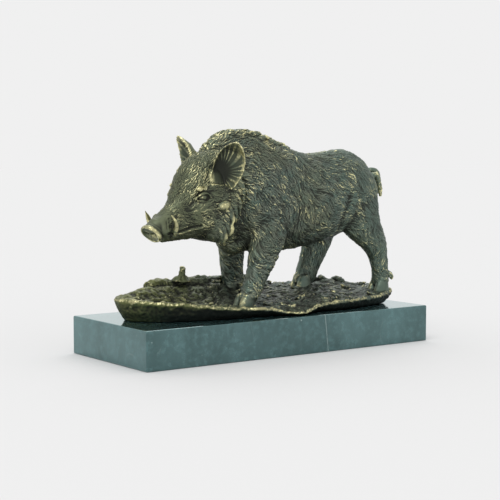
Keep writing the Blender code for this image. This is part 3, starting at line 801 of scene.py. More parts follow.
def ground():
    """A dished piece of earth: flat foot, flared underside, wavy rim and uneven top."""
    angles = [2 * pi * k / 160 - pi for k in range(160)]
    rims = [(rim_reach(a), read_off(RIM_HEIGHT, a * 180 / pi)) for a in angles]

    def level(share_of, height_of):
        return [
            Vector((share_of(reach) * cos(a), share_of(reach) * sin(a), height_of(reach, z, a)))
            for a, (reach, z) in zip(angles, rims)
        ]

    def top(share):
        return level(
            lambda reach: reach * share,
            lambda reach, z, a: surface_height(share * reach * cos(a), share * reach * sin(a)),
        )

    rings = [
        level(lambda reach: reach - FOOT_INSET, lambda reach, z, a: 0),
        level(lambda reach: reach - FOOT_INSET * 0.45, lambda reach, z, a: max(0.4, (z - 4) * 0.5)),
        level(lambda reach: reach - 0.6, lambda reach, z, a: max(0.8, z - 3)),
        level(lambda reach: reach, lambda reach, z, a: max(1.4, z - 1.6)),
    ]
    rings += [
        top(share)
        for share in (0.985, 0.96, 0.93, 0.89, 0.84, 0.78, 0.7, 0.62, 0.54, 0.45, 0.36, 0.27, 0.18, 0.1, 0.04)
    ]
    return loft(rings)


def branch_and_stones():
    start, end = Vector(LOG_START), Vector(LOG_END)
    path = []
    for k in range(9):
        p = start.lerp(end, k / 8)
        radius = LOG_RADIUS * (0.86 + 0.1 * sin(1.9 * k))
        path.append((p.x, p.y + 1.5 * sin(1.3 * k), p.z + 0.5 * sin(2.1 * k), radius))
    made = [
        tube(path, 16, 2),
        tube([
            (*STUB_FOOT, STUB_RADIUS * 2.6),
            (*Vector(STUB_FOOT).lerp(Vector(STUB_TIP), 0.45), STUB_RADIUS),
            (*STUB_TIP, STUB_RADIUS * 0.8),
        ], 12, 2),
    ]
    for k, (x, y, z, radius) in enumerate(STONES):
        turn = Matrix.Rotation(0.9 * k, 4, "Z") @ Matrix.Rotation(0.3 * k, 4, "X")
        made.append(ball((x, y, z), (radius * 1.15, radius * 0.85, radius * 0.7), turn))
    return made


def leaf(fold, curl):
    """One fallen leaf of unit half length: a pointed oval, folded along its middle."""
    bm = bmesh.new()
    bmesh.ops.create_grid(bm, x_segments=6, y_segments=4, size=1)
    for v in bm.verts:
        width = 0.56 * (1 - v.co.x ** 2) ** 0.7 + 0.03
        v.co = (v.co.x, v.co.y * width, fold * abs(v.co.y) * width - curl * v.co.x ** 2)
    bmesh.ops.recalc_face_normals(bm, faces=bm.faces)
    bmesh.ops.solidify(bm, geom=[*bm.verts, *bm.edges, *bm.faces], thickness=0.26)
    return as_mesh(bm)


def on_ground(generator, spread):
    """A random place on the ground, by its share of the way to the rim, and its height."""
    angle = generator.uniform(-pi, pi)
    share = spread * generator.uniform() ** 0.5
    reach = rim_reach(angle)
    x, y = share * reach * cos(angle), share * reach * sin(angle)
    return x, y, surface_height(x, y)


def litter(settings):
    """The larger fallen leaves and bits of bark, half sunk in the ground."""
    generator = np.random.default_rng(LITTER_SEED)
    shapes = [leaf(fold, curl) for fold, curl in ((0.3, 0.2), (-0.3, 0.25), (0.4, 0.1), (0.2, -0.2))]
    made = []
    for k in range(settings.leaves):
        x, y, z = on_ground(generator, 0.95)
        length = settings.leaf_length / UNIT * generator.uniform(0.75, 1.35)
        lean, roll = generator.normal(0, 0.2, 2)
        form = shapes[k % len(shapes)].copy()
        form.transform(
            Matrix.Translation((x, y, z + generator.uniform(-0.1, 0.4)))
            @ Matrix.Rotation(generator.uniform(0, 2 * pi), 4, "Z")
            @ Matrix.Rotation(float(lean), 4, "X") @ Matrix.Rotation(float(roll), 4, "Y")
            @ Matrix.Diagonal((length, length * generator.uniform(0.8, 1.2), length * 1.5, 1))
        )
        made.append(form)
    return made


def rough_ground(skin, settings):
    """The ground's low relief: leaves and clods on top, coarse streaks on the flared underside."""
    generator = np.random.default_rng(CLOD_SEED)
    x, y, _ = skin.points.T
    top = ramp(skin.normals[:, 2], 0.15, 0.45)
    angle = skin.drift(14, 3.3) * 1.2
    headings = np.stack([np.cos(angle), 0.7 * np.sin(angle), np.zeros(skin.count)], 1)
    headings = headings * top[:, None] + (1 - top)[:, None] * np.stack([-y, x, np.zeros(skin.count)], 1) / 60
    headings -= skin.normals * (headings * skin.normals).sum(1)[:, None]
    headings /= np.maximum(1e-6, np.linalg.norm(headings, axis=1))[:, None]
    rate = 0.15 + 0.85 * top
    for start in generator.choice(skin.count, settings.clods, False, rate / rate.sum()):
        size = generator.uniform(0.7, 1.7)
        skin.lay(
            start, headings, 8 * size, 1.2 * size, (0.3 + 0.5 * top[start]) * generator.uniform(0.5, 1.1),
            generator.uniform(0.1, 0.8), generator.uniform(0, 2 * pi),
            0.4 if generator.uniform() < 0.2 else 0,
        )
    skin.raised += (0.3 + 0.6 * top) * skin.drift(5, 8.8) + 0.25 * skin.drift(2.2, 2.1)


def one_skin(forms, voxel, smoothings):
    """Shells melted into one skin of small squares, evened out. The shells are used up."""
    bm = bmesh.new()
    for form in forms:
        bm.from_mesh(form)
    mesh = bpy.data.meshes.new("skin")
    bm.to_mesh(mesh)
    bm.free()
    for form in forms:
        bpy.data.meshes.remove(form)
    work = bpy.data.objects.new("skin", mesh)
    bpy.context.scene.collection.objects.link(work)
    skin = work.modifiers.new("one_skin", "REMESH")
    skin.mode = "VOXEL"
    skin.voxel_size = voxel
    if smoothings:
        even = work.modifiers.new("even", "SMOOTH")
        even.factor = 0.5
        even.iterations = smoothings
    return applied(work)


def applied(work):
    """The evaluated mesh of an object, which is then removed."""
    graph = bpy.context.evaluated_depsgraph_get()
    graph.update()
    mesh = bpy.data.meshes.new_from_object(work.evaluated_get(graph))
    old = work.data
    bpy.data.objects.remove(work)
    bpy.data.meshes.remove(old)
    return mesh


def on_head(paths):
    """Paths given on the left of the head, in the figure's frame and on both sides."""
    matrix = head_matrix()
    return [
        ([matrix @ Vector((a, side * b, c)) for a, b, c in points], reach, depth)
        for points, reach, depth in paths for side in (1, -1)
    ]


class Skin:
    """A fine mesh while it is carved: its points, their ways out and moves, and where hair stays off."""

    def __init__(self, mesh):
        self.mesh = mesh
        self.count = len(mesh.vertices)
        self.points = np.empty((self.count, 3))
        mesh.vertices.foreach_get("co", self.points.ravel())
        self.edges = np.empty((len(mesh.edges), 2), dtype=np.int32)
        mesh.edges.foreach_get("vertices", self.edges.ravel())
        self.degree = np.maximum(1, np.bincount(self.edges.ravel(), minlength=self.count))
        self.raised = np.zeros(self.count)
        self.sunk = np.zeros(self.count)
        self.rubbed = np.zeros(self.count)
        self.kept = np.zeros(self.count)
        self.find_out()

    def find_out(self):
        """The way out of the skin at each point, and a tree to look points up in."""
        self.normals = np.empty((self.count, 3))
        self.mesh.vertex_normals.foreach_get("vector", self.normals.ravel())
        self.finder = KDTree(self.count)
        for i, p in enumerate(self.points):
            self.finder.insert(p, i)
        self.finder.balance()

    def averaged(self, values, rounds):
        """Values evened out over neighbouring points."""
        a, b = self.edges.T
        flat = values.reshape(self.count, -1)
        for _ in range(rounds):
            around = np.stack([
                np.bincount(a, column[b], self.count) + np.bincount(b, column[a], self.count)
                for column in flat.T
            ], 1) / self.degree[:, None]
            flat = 0.5 * (flat + around)
        return flat.reshape(values.shape)

    def press(self, paths, outwards=False):
        """Hollows along paths, or ridges: each has its points, its reach sideways and its depth."""
        for points, reach, depth in paths:
            on_skin = [Vector(self.finder.find(p)[0]) for p in points]
            line = [a.lerp(b, k / 8) for a, b in zip(on_skin, on_skin[1:]) for k in range(8)] + on_skin[-1:]
            share = {}
            for p in line:
                for _, index, distance in self.finder.find_range(p, 1.6 * reach):
                    share[index] = max(share.get(index, 0), exp(-1.6 * (distance / reach) ** 2))
            for index, part in share.items():
                self.sunk[index] += (-depth if outwards else depth) * part

    def lay(self, start, headings, length, width, height, sway, beat, rub):
        """One lock of hair over what is there already, highest at its tip and sinking to its sides."""
        at = Vector(self.points[start])
        steps = max(3, round(length / (0.6 * width)))
        step = length / steps
        index = start
        levels = {}
        for k in range(steps + 1):
            share = k / steps
            size = width * (0.4 + 0.6 * sin(pi * share ** 0.8)) + 0.1
            lift = height * (0.3 + 0.7 * share)
            for _, i, distance in self.finder.find_range(at, size):
                level = 1 - (distance / size) ** 2
                if lift * level > levels.get(i, (0, 0))[0]:
                    levels[i] = (lift * level, rub * level * (0.4 + 0.6 * share))
            forward = Vector(headings[index])
            normal = Vector(self.normals[index])
            forward.rotate(Matrix.Rotation(sway * sin(beat + 5.2 * share), 3, normal))
            at = at + forward * step
            place, index, _ = self.finder.find(at)
            normal = Vector(self.normals[index])
            at = at - normal * (at - Vector(place)).dot(normal)
        for i, (level, shine) in levels.items():
            self.raised[i] = level * (1 - self.kept[i])
            self.rubbed[i] = shine * (1 - self.kept[i])

    def rub(self, path, reach, amount):
        """Rubs the skin bright along a path."""
        self.rubbed = np.maximum(self.rubbed, amount * near_path(self.points, path, reach))

    def drift(self, size, seed):
        """A slow random value over the skin, from about -1 to 1."""
        shift = Vector((seed, 2 * seed, 3 * seed))
        return np.array([noise.noise(Vector(p) / size + shift) for p in self.points]) * 1.6

    def settle(self, smoothings=0):
        """Moves each point by what it was raised or sunk."""
        move = self.raised - self.sunk
        if smoothings:
            move = self.averaged(move, smoothings)
        self.points += self.normals * move[:, None]
        self.put_back()
        self.raised[:] = 0
        self.sunk[:] = 0

    def put_back(self):
        self.mesh.vertices.foreach_set("co", self.points.ravel())
        self.mesh.update()

    def marked(self):
        """Writes on each point how far it stands out, near it and further round, and how rubbed it is."""
        self.mesh.vertex_normals.foreach_get("vector", self.normals.ravel())
        near = self.averaged(self.points, 4)
        far = self.averaged(near, 160)
        facing = self.averaged(self.normals, 12)[:, 2]
        for name, values in (
            ("relief", ((self.points - near) * self.normals).sum(1)),
            ("hollow", ((near - far) * self.normals).sum(1)),
            ("facing", facing),
            ("rubbed", self.rubbed),
        ):
            mark = self.mesh.attributes.new(name, "FLOAT", "POINT")
            mark.data.foreach_set("value", np.ascontiguousarray(values, dtype=np.float32))


def near_path(points, path, reach):
    """1 close to a path and 0 beyond its reach."""
    nearest = np.full(len(points), 1e9)
    for p in path:
        nearest = np.minimum(nearest, np.linalg.norm(points - np.array(p), axis=1))
    return 1 - smooth_step((nearest - reach * 0.8) / (reach * 0.4))


def ramp(values, low, high):
    return smooth_step((values - low) / (high - low))


def to_head(points):
    """Points of the figure in the head's frame, and the turn that takes them there."""
    back = head_matrix().inverted()
    turn = np.array(back.to_3x3())
    return points @ turn.T + np.array(back.translation), turn


def bright_paths(side):
    """Where the rubbed brow, cheek tuft and jowl locks of one side run, in the head's frame."""
    (_, brow, over_eye), (_, cheek, tuft) = HEAD_DETAILS[0][0], HEAD_DETAILS[2][0]
    return [(x, side * (brow + 1.4), over_eye + 0.8) for x in (30, 32, 34, 36)] + [
        (x, side * (cheek + 2), tuft) for x in (6, 8, 10, 12, 14, 16)
    ] + [(a, side * b, c) for path in JOWL_LOCKS for a, b, c, _ in between(path, 3)]


def hair_plan(skin):
    """For each point: the way its hair lies, its locks' sizes, how likely one starts there and is golden."""
    x, y, z = skin.points.T
    in_head, turn = to_head(skin.points)
    ahead, aside, up = in_head.T
    head = ramp(ahead, 3, 9) * ramp(z, 56, 60)
    legs = ramp(-z, -62, -50) * (1 - head)
    rump = ramp(x, 70, 95) * (1 - legs)
    shoulder = np.exp(-(((x + 4) / 26) ** 2 + ((z - 84) / 30) ** 2)) * (1 - head)
    crest = (
        ramp(z - np.interp(x, [r[0] for r in TRUNK], [r[1] for r in TRUNK]), -16, -6) * (1 - head)
        * ramp(-x, -40, -10)
    )
    flank = np.exp(-((x - 24) / 20) ** 2) * (1 - crest)
    forelegs = legs * ramp(-x, -30, -20)
    neck = ramp(-x, 5, 20) * ramp(z, 85, 100) * (1 - head)
    outside = np.sign(aside)

    def spread(share, way):
        return share[:, None] * np.array(way)

    headings = spread(np.ones(skin.count), (1, 0, -0.3))
    headings += (
        spread(shoulder, (-0.1, 0, -0.6)) + spread(crest, (0.1, 0, 0.4)) + spread(flank, (-0.55, 0, -0.55))
    )
    headings = headings * (1 - rump)[:, None] + spread(rump, (0.62, 0, -0.78))
    headings = headings * (1 - legs)[:, None] + spread(legs, (0.42, 0, -0.9))
    headings = headings * (1 - forelegs)[:, None] + spread(forelegs, (0.86, 0, -0.42))

    forehead = ramp(up, 85, 94) * ramp(ahead, 20, 30) + ramp(up, 104, 110) * (1 - ramp(ahead, 20, 30))
    jowl = ramp(-ahead, -20, -8) * ramp(-up, -92, -80)
    face = (
        spread(1 - forehead, (-0.96, 0, 0.05)) + spread(forehead, (-0.62, 0, 0.78))
        + spread(jowl, (0.3, 0, -0.8))
    )
    face[:, 1] += 0.22 * outside * forehead
    headings = headings * (1 - head)[:, None] + (face @ turn) * head[:, None]
    in_ears = np.zeros(skin.count, dtype=bool)
    for side in (1, -1):
        root, length, along, opening, across = (np.array(v) for v in ear_frame(side))
        local = in_head - root
        s = local @ along
        beside = (np.abs(local @ across) < 14) & (np.abs(local @ opening) < 14) & (aside * side > 13)
        inside = (s > 1) & (s < length + 3) & beside & (up > 104)
        fan = local - along * 4 + across * (side * 3)
        headings[inside] = fan[inside] @ turn
        in_ears |= inside
    headings -= skin.normals * (headings * skin.normals).sum(1)[:, None]
    headings /= np.maximum(1e-6, np.linalg.norm(headings, axis=1))[:, None]
    stray = skin.drift(13, 4.2) * 0.7 * (1 - 0.5 * head) * ~in_ears
    headings = headings * np.cos(stray)[:, None] + np.cross(skin.normals, headings) * np.sin(stray)[:, None]

    wide = 1 - 0.2 * head - 0.1 * rump + 0.25 * forelegs + 0.3 * neck
    long = 1 - 0.2 * head - 0.1 * rump + 0.2 * crest + 0.6 * forehead * head
    tall = (
        1 - 0.2 * head - 0.3 * rump - 0.1 * legs + 0.3 * crest + 0.5 * forelegs + 0.6 * forehead * head
        + 0.5 * neck
    )
    rate = 1 + 0.7 * head + 0.5 * forehead * head + 0.1 * rump

    bare = ramp(ahead, 60, 64) * head
    to_figure = head_matrix()
    for side in (1, -1):
        for path, reach, share in (
            ([(a, side * b, c) for a, b, c, _ in TUSK], 3.4, 1),
            ([(EYE[0], side * EYE[1], EYE[2])], 5.6, 1),
            (bright_paths(side), 2.4, 0.8),
            ([(a, side * b, c) for a, b, c in MOUTH], 1.6, 1),
        ):
            placed = [to_figure @ Vector(p) for p in path]
            bare = np.maximum(bare, share * near_path(skin.points, placed, reach))
    for hx, hy, hz in HOOVES:
        bare = np.maximum(bare, (np.hypot(x - hx, y - hy) < 19) * ramp(-z, -(hz + 8), -(hz + 5)))
    skin.kept = np.where(in_ears, 1, bare)
    rate = rate * (1 - bare) * np.where(in_ears, 0.03, 1)
    wide = np.where(in_ears, 0.75, wide)
    tall = np.where(in_ears, 0.5, tall)
    # Painted shade: fewer golden locks on the inner sides of the legs and belly, where the legs shade each other.
    inner = ramp(-skin.normals[:, 1] * np.sign(y), 0, 0.5) * ramp(-z, -75, -60)
    golden = 0.06 + 0.55 * ramp(skin.drift(15, 1.7), 0.1, 0.65) + 0.16 * head * forehead - 0.1 * rump
    return headings, wide, long, tall, rate, golden * (1 - 0.85 * inner)


def ear_ridges(skin):
    """The fan of hair ridges inside each ear, from its deepest part to its rim."""
    in_head, turn = to_head(skin.points)
    for side in (1, -1):
        root, length, along, opening, across = (np.array(v) for v in ear_frame(side))
        local = in_head - root
        inner = skin.normals @ turn.T @ opening > -0.1
        s, c = local @ along - 9, local @ across * side + 5
        beside = (np.abs(c - 5) < 13) & (np.abs(local @ opening) < 14) & (in_head[:, 1] * side > 13)
        inside = inner & (s > -9) & (s < length - 8) & beside
        away, angle = np.hypot(s, c), np.arctan2(c, s)
        fan = np.maximum(0, np.sin(angle * 26 + 2.5 * np.sin(5 * angle) + 0.3 * away)) * ramp(away, 5, 12)
        skin.raised = np.where(inside, 0.3 * fan, skin.raised)
        # Ridge tops rubbed bright, and the cup lighter away from its deepest part: partly rubbed wear, partly
        # painted light.
        skin.rubbed = np.where(inside, (0.45 + 0.25 * fan) * ramp(away, 6, 12), skin.rubbed)


def starts(skin, generator, number, rate):
    """Random places to start locks at, the hindmost and lowest first, so that locks overlap."""
    chosen = generator.choice(skin.count, number, False, rate / rate.sum())
    return chosen[np.argsort(skin.points[chosen, 2] * 0.6 - skin.points[chosen, 0])]


def carve(skin, settings):
    """The hair over the whole boar: broad clumps, locks on them, then fine strands."""
    generator = np.random.default_rng(HAIR_SEED)
    headings, wide, long, tall, rate, golden = hair_plan(skin)
    width, length, height = (
        v / UNIT for v in (settings.lock_width, settings.lock_length, settings.lock_height)
    )
    for start in starts(skin, generator, settings.clumps, rate):
        skin.lay(
            start, headings, 1.4 * length * long[start] * generator.uniform(0.8, 1.2),
            2.4 * width * wide[start],
            1.2 * height * tall[start] * generator.uniform(0.6, 1.2), generator.uniform(0.1, 0.5),
            generator.uniform(0, 2 * pi), 0,
        )
    clumps = skin.averaged(skin.raised, 3)
    skin.raised[:] = 0
    for start in starts(skin, generator, settings.locks, rate):
        rub = generator.uniform() < golden[start]
        skin.lay(
            start, headings, length * long[start] * generator.uniform(0.7, 1.3),
            width * wide[start] * generator.uniform(0.8, 1.2),
            height * tall[start] * generator.uniform(0.7, 1.3), generator.uniform(0.2, 0.7),
            generator.uniform(0, 2 * pi),
            generator.uniform(0.5, 1) if rub else 0.1,
        )
    fine = Strands(skin)
    for start in generator.choice(skin.count, settings.strands, False, rate / rate.sum()):
        fine.cut(
            start, headings, 5.5 * generator.uniform(0.7, 1.3), 0.5, 0.17 * (0.6 + 0.4 * tall[start]),
            generator.uniform(-0.4, 0.4),
        )
    skin.raised += clumps + 0.35 * skin.drift(9, 6.1)
    skin.sunk += fine.depth * (1 - skin.kept)


class Strands:
    """Fine grooves between hairs."""

    def __init__(self, skin):
        self.skin = skin
        self.depth = np.zeros(skin.count)

    def cut(self, start, headings, length, width, depth, sway):
        skin = self.skin
        at = Vector(skin.points[start])
        index = start
        steps = max(3, round(length / 0.55))
        for k in range(steps + 1):
            share = k / steps
            deep = depth * sin(pi * (0.1 + 0.8 * share))
            for _, i, distance in skin.finder.find_range(at, width):
                level = deep * (1 - distance / width)
                if level > self.depth[i]:
                    self.depth[i] = level
            forward = Vector(headings[index])
            forward.rotate(Matrix.Rotation(sway, 3, Vector(skin.normals[index])))
            at, index, _ = skin.finder.find(at + forward * 0.62)


def in_parts(mesh, cuts, names):
    """A mesh in pieces between planes across it, with their cuts filled where that works, and its shading kept."""
    outward = np.empty(len(mesh.vertices) * 3, dtype=np.float32)
    mesh.vertex_normals.foreach_get("vector", outward)
    mesh.attributes.new("outward", "FLOAT_VECTOR", "POINT").data.foreach_set("vector", outward)
    bounds = [-1e9, *cuts, 1e9]
    pieces = []
    for name, low, high in zip(names, bounds, bounds[1:]):
        bm = bmesh.new()
        bm.from_mesh(mesh)
        bmesh.ops.delete(
            bm, geom=[f for f in bm.faces if not low <= f.calc_center_median().x < high], context="FACES",
        )
        bmesh.ops.holes_fill(bm, edges=[e for e in bm.edges if e.is_boundary], sides=0)
        made = bpy.data.meshes.new(name)
        bm.to_mesh(made)
        bm.free()
        made.shade_smooth()
        outward = np.empty(len(made.vertices) * 3, dtype=np.float32)
        made.attributes["outward"].data.foreach_get("vector", outward)
        made.normals_split_custom_set_from_vertices(outward.reshape(-1, 3))
        made.attributes.remove(made.attributes["outward"])
        pieces.append(made)
    bpy.data.meshes.remove(mesh)
    return pieces


def put_on_plinth(mesh):
    """From the drawing's millimetres to metres on the plinth."""
    mesh.transform(Matrix.Translation((0, 0, SEAT)) @ Matrix.Scale(UNIT, 4))


def show(name, mesh, look, node):
    """A finished piece, on its body and in place of its solid."""
    mesh.materials.clear()
    mesh.materials.append(look)
    piece = bpy.data.objects.new(name, mesh)
    bpy.context.scene.collection.objects.link(piece)
    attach(piece, "root")
    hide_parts(node)
    return piece


def bronze(name, settings, strength, front, rear, painted_shade_range):
    """Cast bronze: grey green patina, nearly black in its hollows from dark patina and painted shade, rubbed to
    brass where it stands out.

    front and rear tint the patina towards the two ends. The last argument sets where the underside is painted dark
    as shade, which eases off towards the -X end.
    """
    look = Look(name)
    place = look.place()
    relief, hollow, facing, rubbed = (look.mark(mark) for mark in ("relief", "hollow", "facing", "rubbed"))
    blotches = look.cloud(place, 75, 4, 0.6)
    specks = look.cloud(place, 420, 2, 0.6)
    patches = look.cloud(place, 22, 2, 0.5)
    along = look.node("ShaderNodeSeparateXYZ", {}, {"Vector": place})

    def tinted(*shares):
        return tuple(v * s * strength for v, s in zip(settings.patina, shares))

    green = look.cloud(place, 140, 3, 0.6).over(0.35, 0.7).blend(
        tinted(1.25, 1.25, 1.25), tinted(0.85, 1.1, 1.15),
    )
    green = (patches.over(0.42, 0.62) * 0.5).blend(green, tinted(1.3, 1.22, 0.9))
    green = ((along - 0.02).over(0, 0.09) * 0.6).blend(green, tinted(*rear))
    green = ((0 - along).over(0.01, 0.09) * 0.75).blend(green, tinted(*front))
    # Darker in hollows, low places and where the skin faces down: dark patina, deepened as painted shade.
    stands_out = relief + 0.2 * hollow + 0.03 * facing + 0.1 * (blotches - 0.5) + 0.25 * rubbed
    dark = 1 - stands_out.over(-0.13, 0.19)
    coloured = (dark * 0.92).blend(green, tuple(settings.recess_patina_and_shade))
    wear = (
        relief * 3.2 + hollow * 0.1 + rubbed * 1.0 + (specks - 0.5) * 0.4 + (blotches - 0.5) * 2.2
    ).over(0.5, 1.35)
    coloured = (wear * 0.9).blend(coloured, tuple(v * strength for v in settings.worn))
    # Painted highlight: small bright brass flecks on the worn parts.
    glint = wear * specks.over(0.52, 0.62)
    coloured = (glint * 0.9).blend(coloured, tuple(min(1, 1.7 * v * strength) for v in settings.worn))
    # Painted shade: skin facing down turns to the recess colour, easing off towards the -X end.
    clear_of_painted_shade = facing.over(*painted_shade_range) + 0.7 * (0 - along).over(0.095, 0.125)
    coloured = clear_of_painted_shade.blend(tuple(settings.recess_patina_and_shade), coloured)
    rough = 0.44 - 0.14 * wear + 0.16 * dark
    grain = look.cloud(place, 2400, 2, 0.6)
    bump = look.node(
        "ShaderNodeBump", {}, {"Strength": 0.3, "Distance": 0.0002, "Height": grain * 0.6 + specks * 0.6},
    )
    return look.finish(Base_Color=coloured, Roughness=rough, Metallic=0.7 + 0.25 * wear, Normal=bump)


def marble(settings):
    """Polished dark green marble with soft clouds and a few thin pale veins."""
    look = Look("marble")
    place = look.place()
    clouds = look.cloud(look.place((1, 1, 0.35)), 26, 5, 0.6, 0.6).over(0.35, 0.68)
    fine = look.cloud(place, 220, 4, 0.65).over(0.45, 0.7)
    stone = (clouds * 0.5).blend(tuple(settings.cloud), tuple(settings.stone))
    stone = (fine * 0.25).blend(stone, tuple(v * 1.5 for v in settings.stone))
    warp = look.cloud(look.place((1, 1, 0.5), (0.4, 0.3, 0.5)), 14, 3, 0.55, 0.4)
    line = look.node("ShaderNodeMath", {"operation": "ABSOLUTE"}, {0: warp - 0.505})
    vein = (1 - line.over(0.0, 0.004)) * look.cloud(place, 30, 2).over(0.52, 0.66)
    stone = (vein * 0.15).blend(stone, tuple(settings.vein))
    slant = look.node("ShaderNodeVectorMath", {"operation": "DOT_PRODUCT"}, {0: place, 1: (1, -0.3, 0.12)}, 1)
    seam = look.node("ShaderNodeMath", {"operation": "ABSOLUTE"}, {0: slant - 0.0475 + 0.006 * (warp - 0.5)})
    stone = (
        (1 - seam.over(0.0001, 0.0006)) * look.cloud(place, 200).over(0.3, 0.5) * 0.45
    ).blend(stone, tuple(settings.vein))
    chips = look.cloud(look.place((1, 1, 1), (0.2, 0.9, 0.1)), 330, 1).over(0.79, 0.82)
    stone = (chips * 0.8).blend(stone, tuple(settings.vein))
    look.surface.inputs["Metallic"].default_value = 0.65
    look.surface.inputs["Specular Tint"].default_value = (0.72, 1, 1, 1)
    look.surface.inputs["Coat Weight"].default_value = 0.75
    look.surface.inputs["Coat Roughness"].default_value = 0.03
    return look.finish(Base_Color=stone, Roughness=0.12 + 0.08 * fine)


def settings_of(context):
    scene = context.scene
    return scene.boar_settings, scene.ground_settings, scene.plinth_settings, scene.stage_settings


class BOAR_OT_boar(bpy.types.Operator):
    """Build the bronze boar with its carved hair"""

    bl_idname = "boar.build_boar"
    bl_label = "Boar"

    def execute(self, context):
        settings = settings_of(context)[0]
        matrix = head_matrix()
        head_forms = skull()
        flesh = [
            trunk(), *(ball(middle, sizes) for middle, sizes in MASSES),
            *(leg(rows) for rows in LEGS.values()), *head_forms,
        ]
        for form in head_forms:
            form.transform(matrix)
        soft = Skin(one_skin(flesh, FLESH_VOXEL, FLESH_SMOOTHINGS))
        soft.press(on_head(HEAD_HOLLOWS) + BODY_HOLLOWS)
        soft.settle(2)

        on_face = features() + [tube(lock, 10, 2) for side in (1, -1) for lock in ruff_locks(side)]
        for form in on_face:
            form.transform(matrix)
        hooves = [form for place in HOOVES for form in hoof(*place)]
        forms = [soft.mesh, *on_face, *mane(), tube(tail_path(), 12, 2), *hooves]
        skin = Skin(one_skin(forms, settings.skin_voxel / UNIT, 2))
        nostril = snout_matrix() @ Vector((0, NOSTRIL_APART, 0))
        skin.press(on_head([*HEAD_CUTS, ([tuple(nostril)], *NOSTRIL_HOLLOW)]))
        skin.press(on_head(HEAD_RIDGES), True)
        carve(skin, settings)
        ear_ridges(skin)
        for side in (1, -1):
            for path, name in (
                ([(a, side * b, c) for a, b, c, _ in TUSK], "tusk"),
                (bright_paths(side), "bright"),
                (ear_rim(side), "ear_rim"),
            ):
                skin.rub([matrix @ Vector(p) for p in path], *RUBS[name])
        disc = matrix @ snout_matrix()
        edge = [disc @ Vector((SNOUT_RADIUS * cos(k / 3), SNOUT_RADIUS * sin(k / 3), 1.2)) for k in range(19)]
        skin.rub(edge, *RUBS["snout_rim"])
        skin.rub([disc @ Vector((0, 0, 1))], *RUBS["snout_disc"])
        for x, y, z in HOOVES:
            skin.rub([(x - 2, y, z + 4), (x - 8, y, z + 3)], *RUBS["hoof"])
        skin.rub([p[:3] for p in between(tail_path(), 3)[6:]], *RUBS["tail"])
        skin.settle()
        below = CREST - skin.points[:, 2]
        skin.points[:, 2] = CREST - CREST_SOFTNESS * np.logaddexp(0, below / CREST_SOFTNESS)
        skin.put_back()
        skin.marked()
        put_on_plinth(skin.mesh)
        look = bronze("boar_bronze", settings, 1, (1.0, 0.96, 0.64), (0.92, 1.14, 1.16), (-1.6, -0.5))
        for mesh in in_parts(skin.mesh, BOAR_CUTS, ("boar_head", "boar_shoulders", "boar_hindquarters")):
            show(mesh.name, mesh, look, "bronze_boar")
        return {"FINISHED"}


class BOAR_OT_ground(bpy.types.Operator):
    """Build the bronze ground with its branch, stones and leaves"""

    bl_idname = "boar.build_ground"
    bl_label = "Ground"

    def execute(self, context):
        boar, settings = settings_of(context)[:2]
        skin = Skin(
            one_skin([ground(), *branch_and_stones(), *litter(settings)], settings.skin_voxel / UNIT, 1)
        )
        rough_ground(skin, settings)
        angles = [2 * pi * k / 300 for k in range(300)]
        rim = [
            (
                rim_reach(a) * cos(a), rim_reach(a) * sin(a),
                read_off(RIM_HEIGHT, atan2(sin(a), cos(a)) * 180 / pi) - 0.4,
            )
            for a in angles
        ]
        skin.rub(rim, *RUBS["ground_rim"])
        skin.settle()
        skin.points[:, 2] = np.maximum(skin.points[:, 2], 0)
        skin.put_back()
        skin.marked()
        put_on_plinth(skin.mesh)
        look = bronze("ground_bronze", boar, 0.75, (1.5, 1.38, 0.52), (0.66, 0.8, 0.84), (-0.45, 0.05))
        for mesh in in_parts(skin.mesh, GROUND_CUTS, ("boar_ground_front", "boar_ground_rear")):
            show(mesh.name, mesh, look, "bronze_boar")
        return {"FINISHED"}


class BOAR_OT_plinth(bpy.types.Operator):
    """Give the plinth its polished marble"""

    bl_idname = "boar.dress_plinth"
    bl_label = "Plinth"

    def execute(self, context):
        look = marble(settings_of(context)[2])
        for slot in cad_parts["marble_plinth"].material_slots:
            slot.material = look
        return {"FINISHED"}


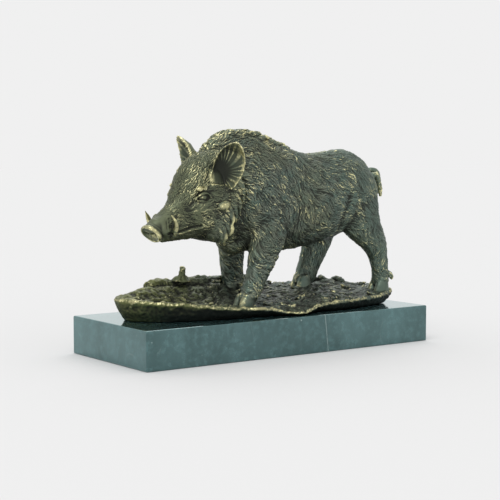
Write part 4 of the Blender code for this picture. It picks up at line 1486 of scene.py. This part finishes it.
class BOAR_OT_stage(bpy.types.Operator):
    """Set the floor, the soft lights and the camera"""

    bl_idname = "boar.set_stage"
    bl_label = "Stage"

    def execute(self, context):
        settings = settings_of(context)[3]
        bm = bmesh.new()
        bmesh.ops.create_grid(bm, x_segments=1, y_segments=1, size=12)
        mesh = bpy.data.meshes.new("floor")
        bm.to_mesh(mesh)
        bm.free()
        look = Look("floor")
        look.surface.inputs["Specular IOR Level"].default_value = 0
        look.finish(Base_Color=tuple(settings.floor), Roughness=0.9)
        mesh.materials.append(look.material)
        floor = bpy.data.objects.new("floor", mesh)
        context.scene.collection.objects.link(floor)

        world = bpy.data.worlds.new("surround")
        world.use_nodes = True
        backdrop = world.node_tree.nodes["Background"]
        backdrop.inputs["Color"].default_value = (1, 1, 1, 1)
        backdrop.inputs["Strength"].default_value = settings.surround
        context.scene.world = world
        context.scene.view_settings.view_transform = "Standard"

        for name, place, strength in (
            ("key", (-1.0, -0.9, 2.0), settings.key), ("back", (0.9, 1.0, 1.6), settings.back),
        ):
            light = bpy.data.lights.new(name, "SUN")
            light.energy = strength
            light.angle = radians(40)
            lamp = bpy.data.objects.new(name, light)
            lamp.location = place
            lamp.rotation_euler = (-Vector(place)).to_track_quat("-Z", "Y").to_euler()
            context.scene.collection.objects.link(lamp)

        view = bpy.data.cameras.new("camera")
        view.lens = CAMERA_LENS
        view.sensor_width = 36
        camera = bpy.data.objects.new("camera", view)
        camera.location = CAMERA_PLACE
        camera.rotation_euler = (-Vector(CAMERA_BACK)).to_track_quat("-Z", "Y").to_euler()
        context.scene.collection.objects.link(camera)
        context.scene.camera = camera
        return {"FINISHED"}


class BOAR_PT_panel(bpy.types.Panel):
    bl_idname = "BOAR_PT_panel"
    bl_label = "Bronze Boar"
    bl_space_type = "VIEW_3D"
    bl_region_type = "UI"
    bl_category = "Boar"

    def draw(self, context):
        for settings, operator in zip(
            settings_of(context), (BOAR_OT_boar, BOAR_OT_ground, BOAR_OT_plinth, BOAR_OT_stage),
        ):
            box = self.layout.box()
            for name in settings.__annotations__:
                box.prop(settings, name)
            box.operator(operator.bl_idname)


CLASSES = (
    BoarSettings, GroundSettings, PlinthSettings, StageSettings,
    BOAR_OT_boar, BOAR_OT_ground, BOAR_OT_plinth, BOAR_OT_stage, BOAR_PT_panel,
)
POINTERS = (
    ("boar_settings", BoarSettings), ("ground_settings", GroundSettings),
    ("plinth_settings", PlinthSettings), ("stage_settings", StageSettings),
)


def register():
    for made in CLASSES:
        bpy.utils.register_class(made)
    for name, group in POINTERS:
        setattr(bpy.types.Scene, name, PointerProperty(type=group))


def unregister():
    for name, _ in POINTERS:
        delattr(bpy.types.Scene, name)
    for made in reversed(CLASSES):
        bpy.utils.unregister_class(made)


def main():
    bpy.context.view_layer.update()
    register()
    bpy.ops.boar.set_stage()
    bpy.ops.boar.dress_plinth()
    bpy.ops.boar.build_boar()
    bpy.ops.boar.build_ground()


if __name__ == "__main__":
    main()
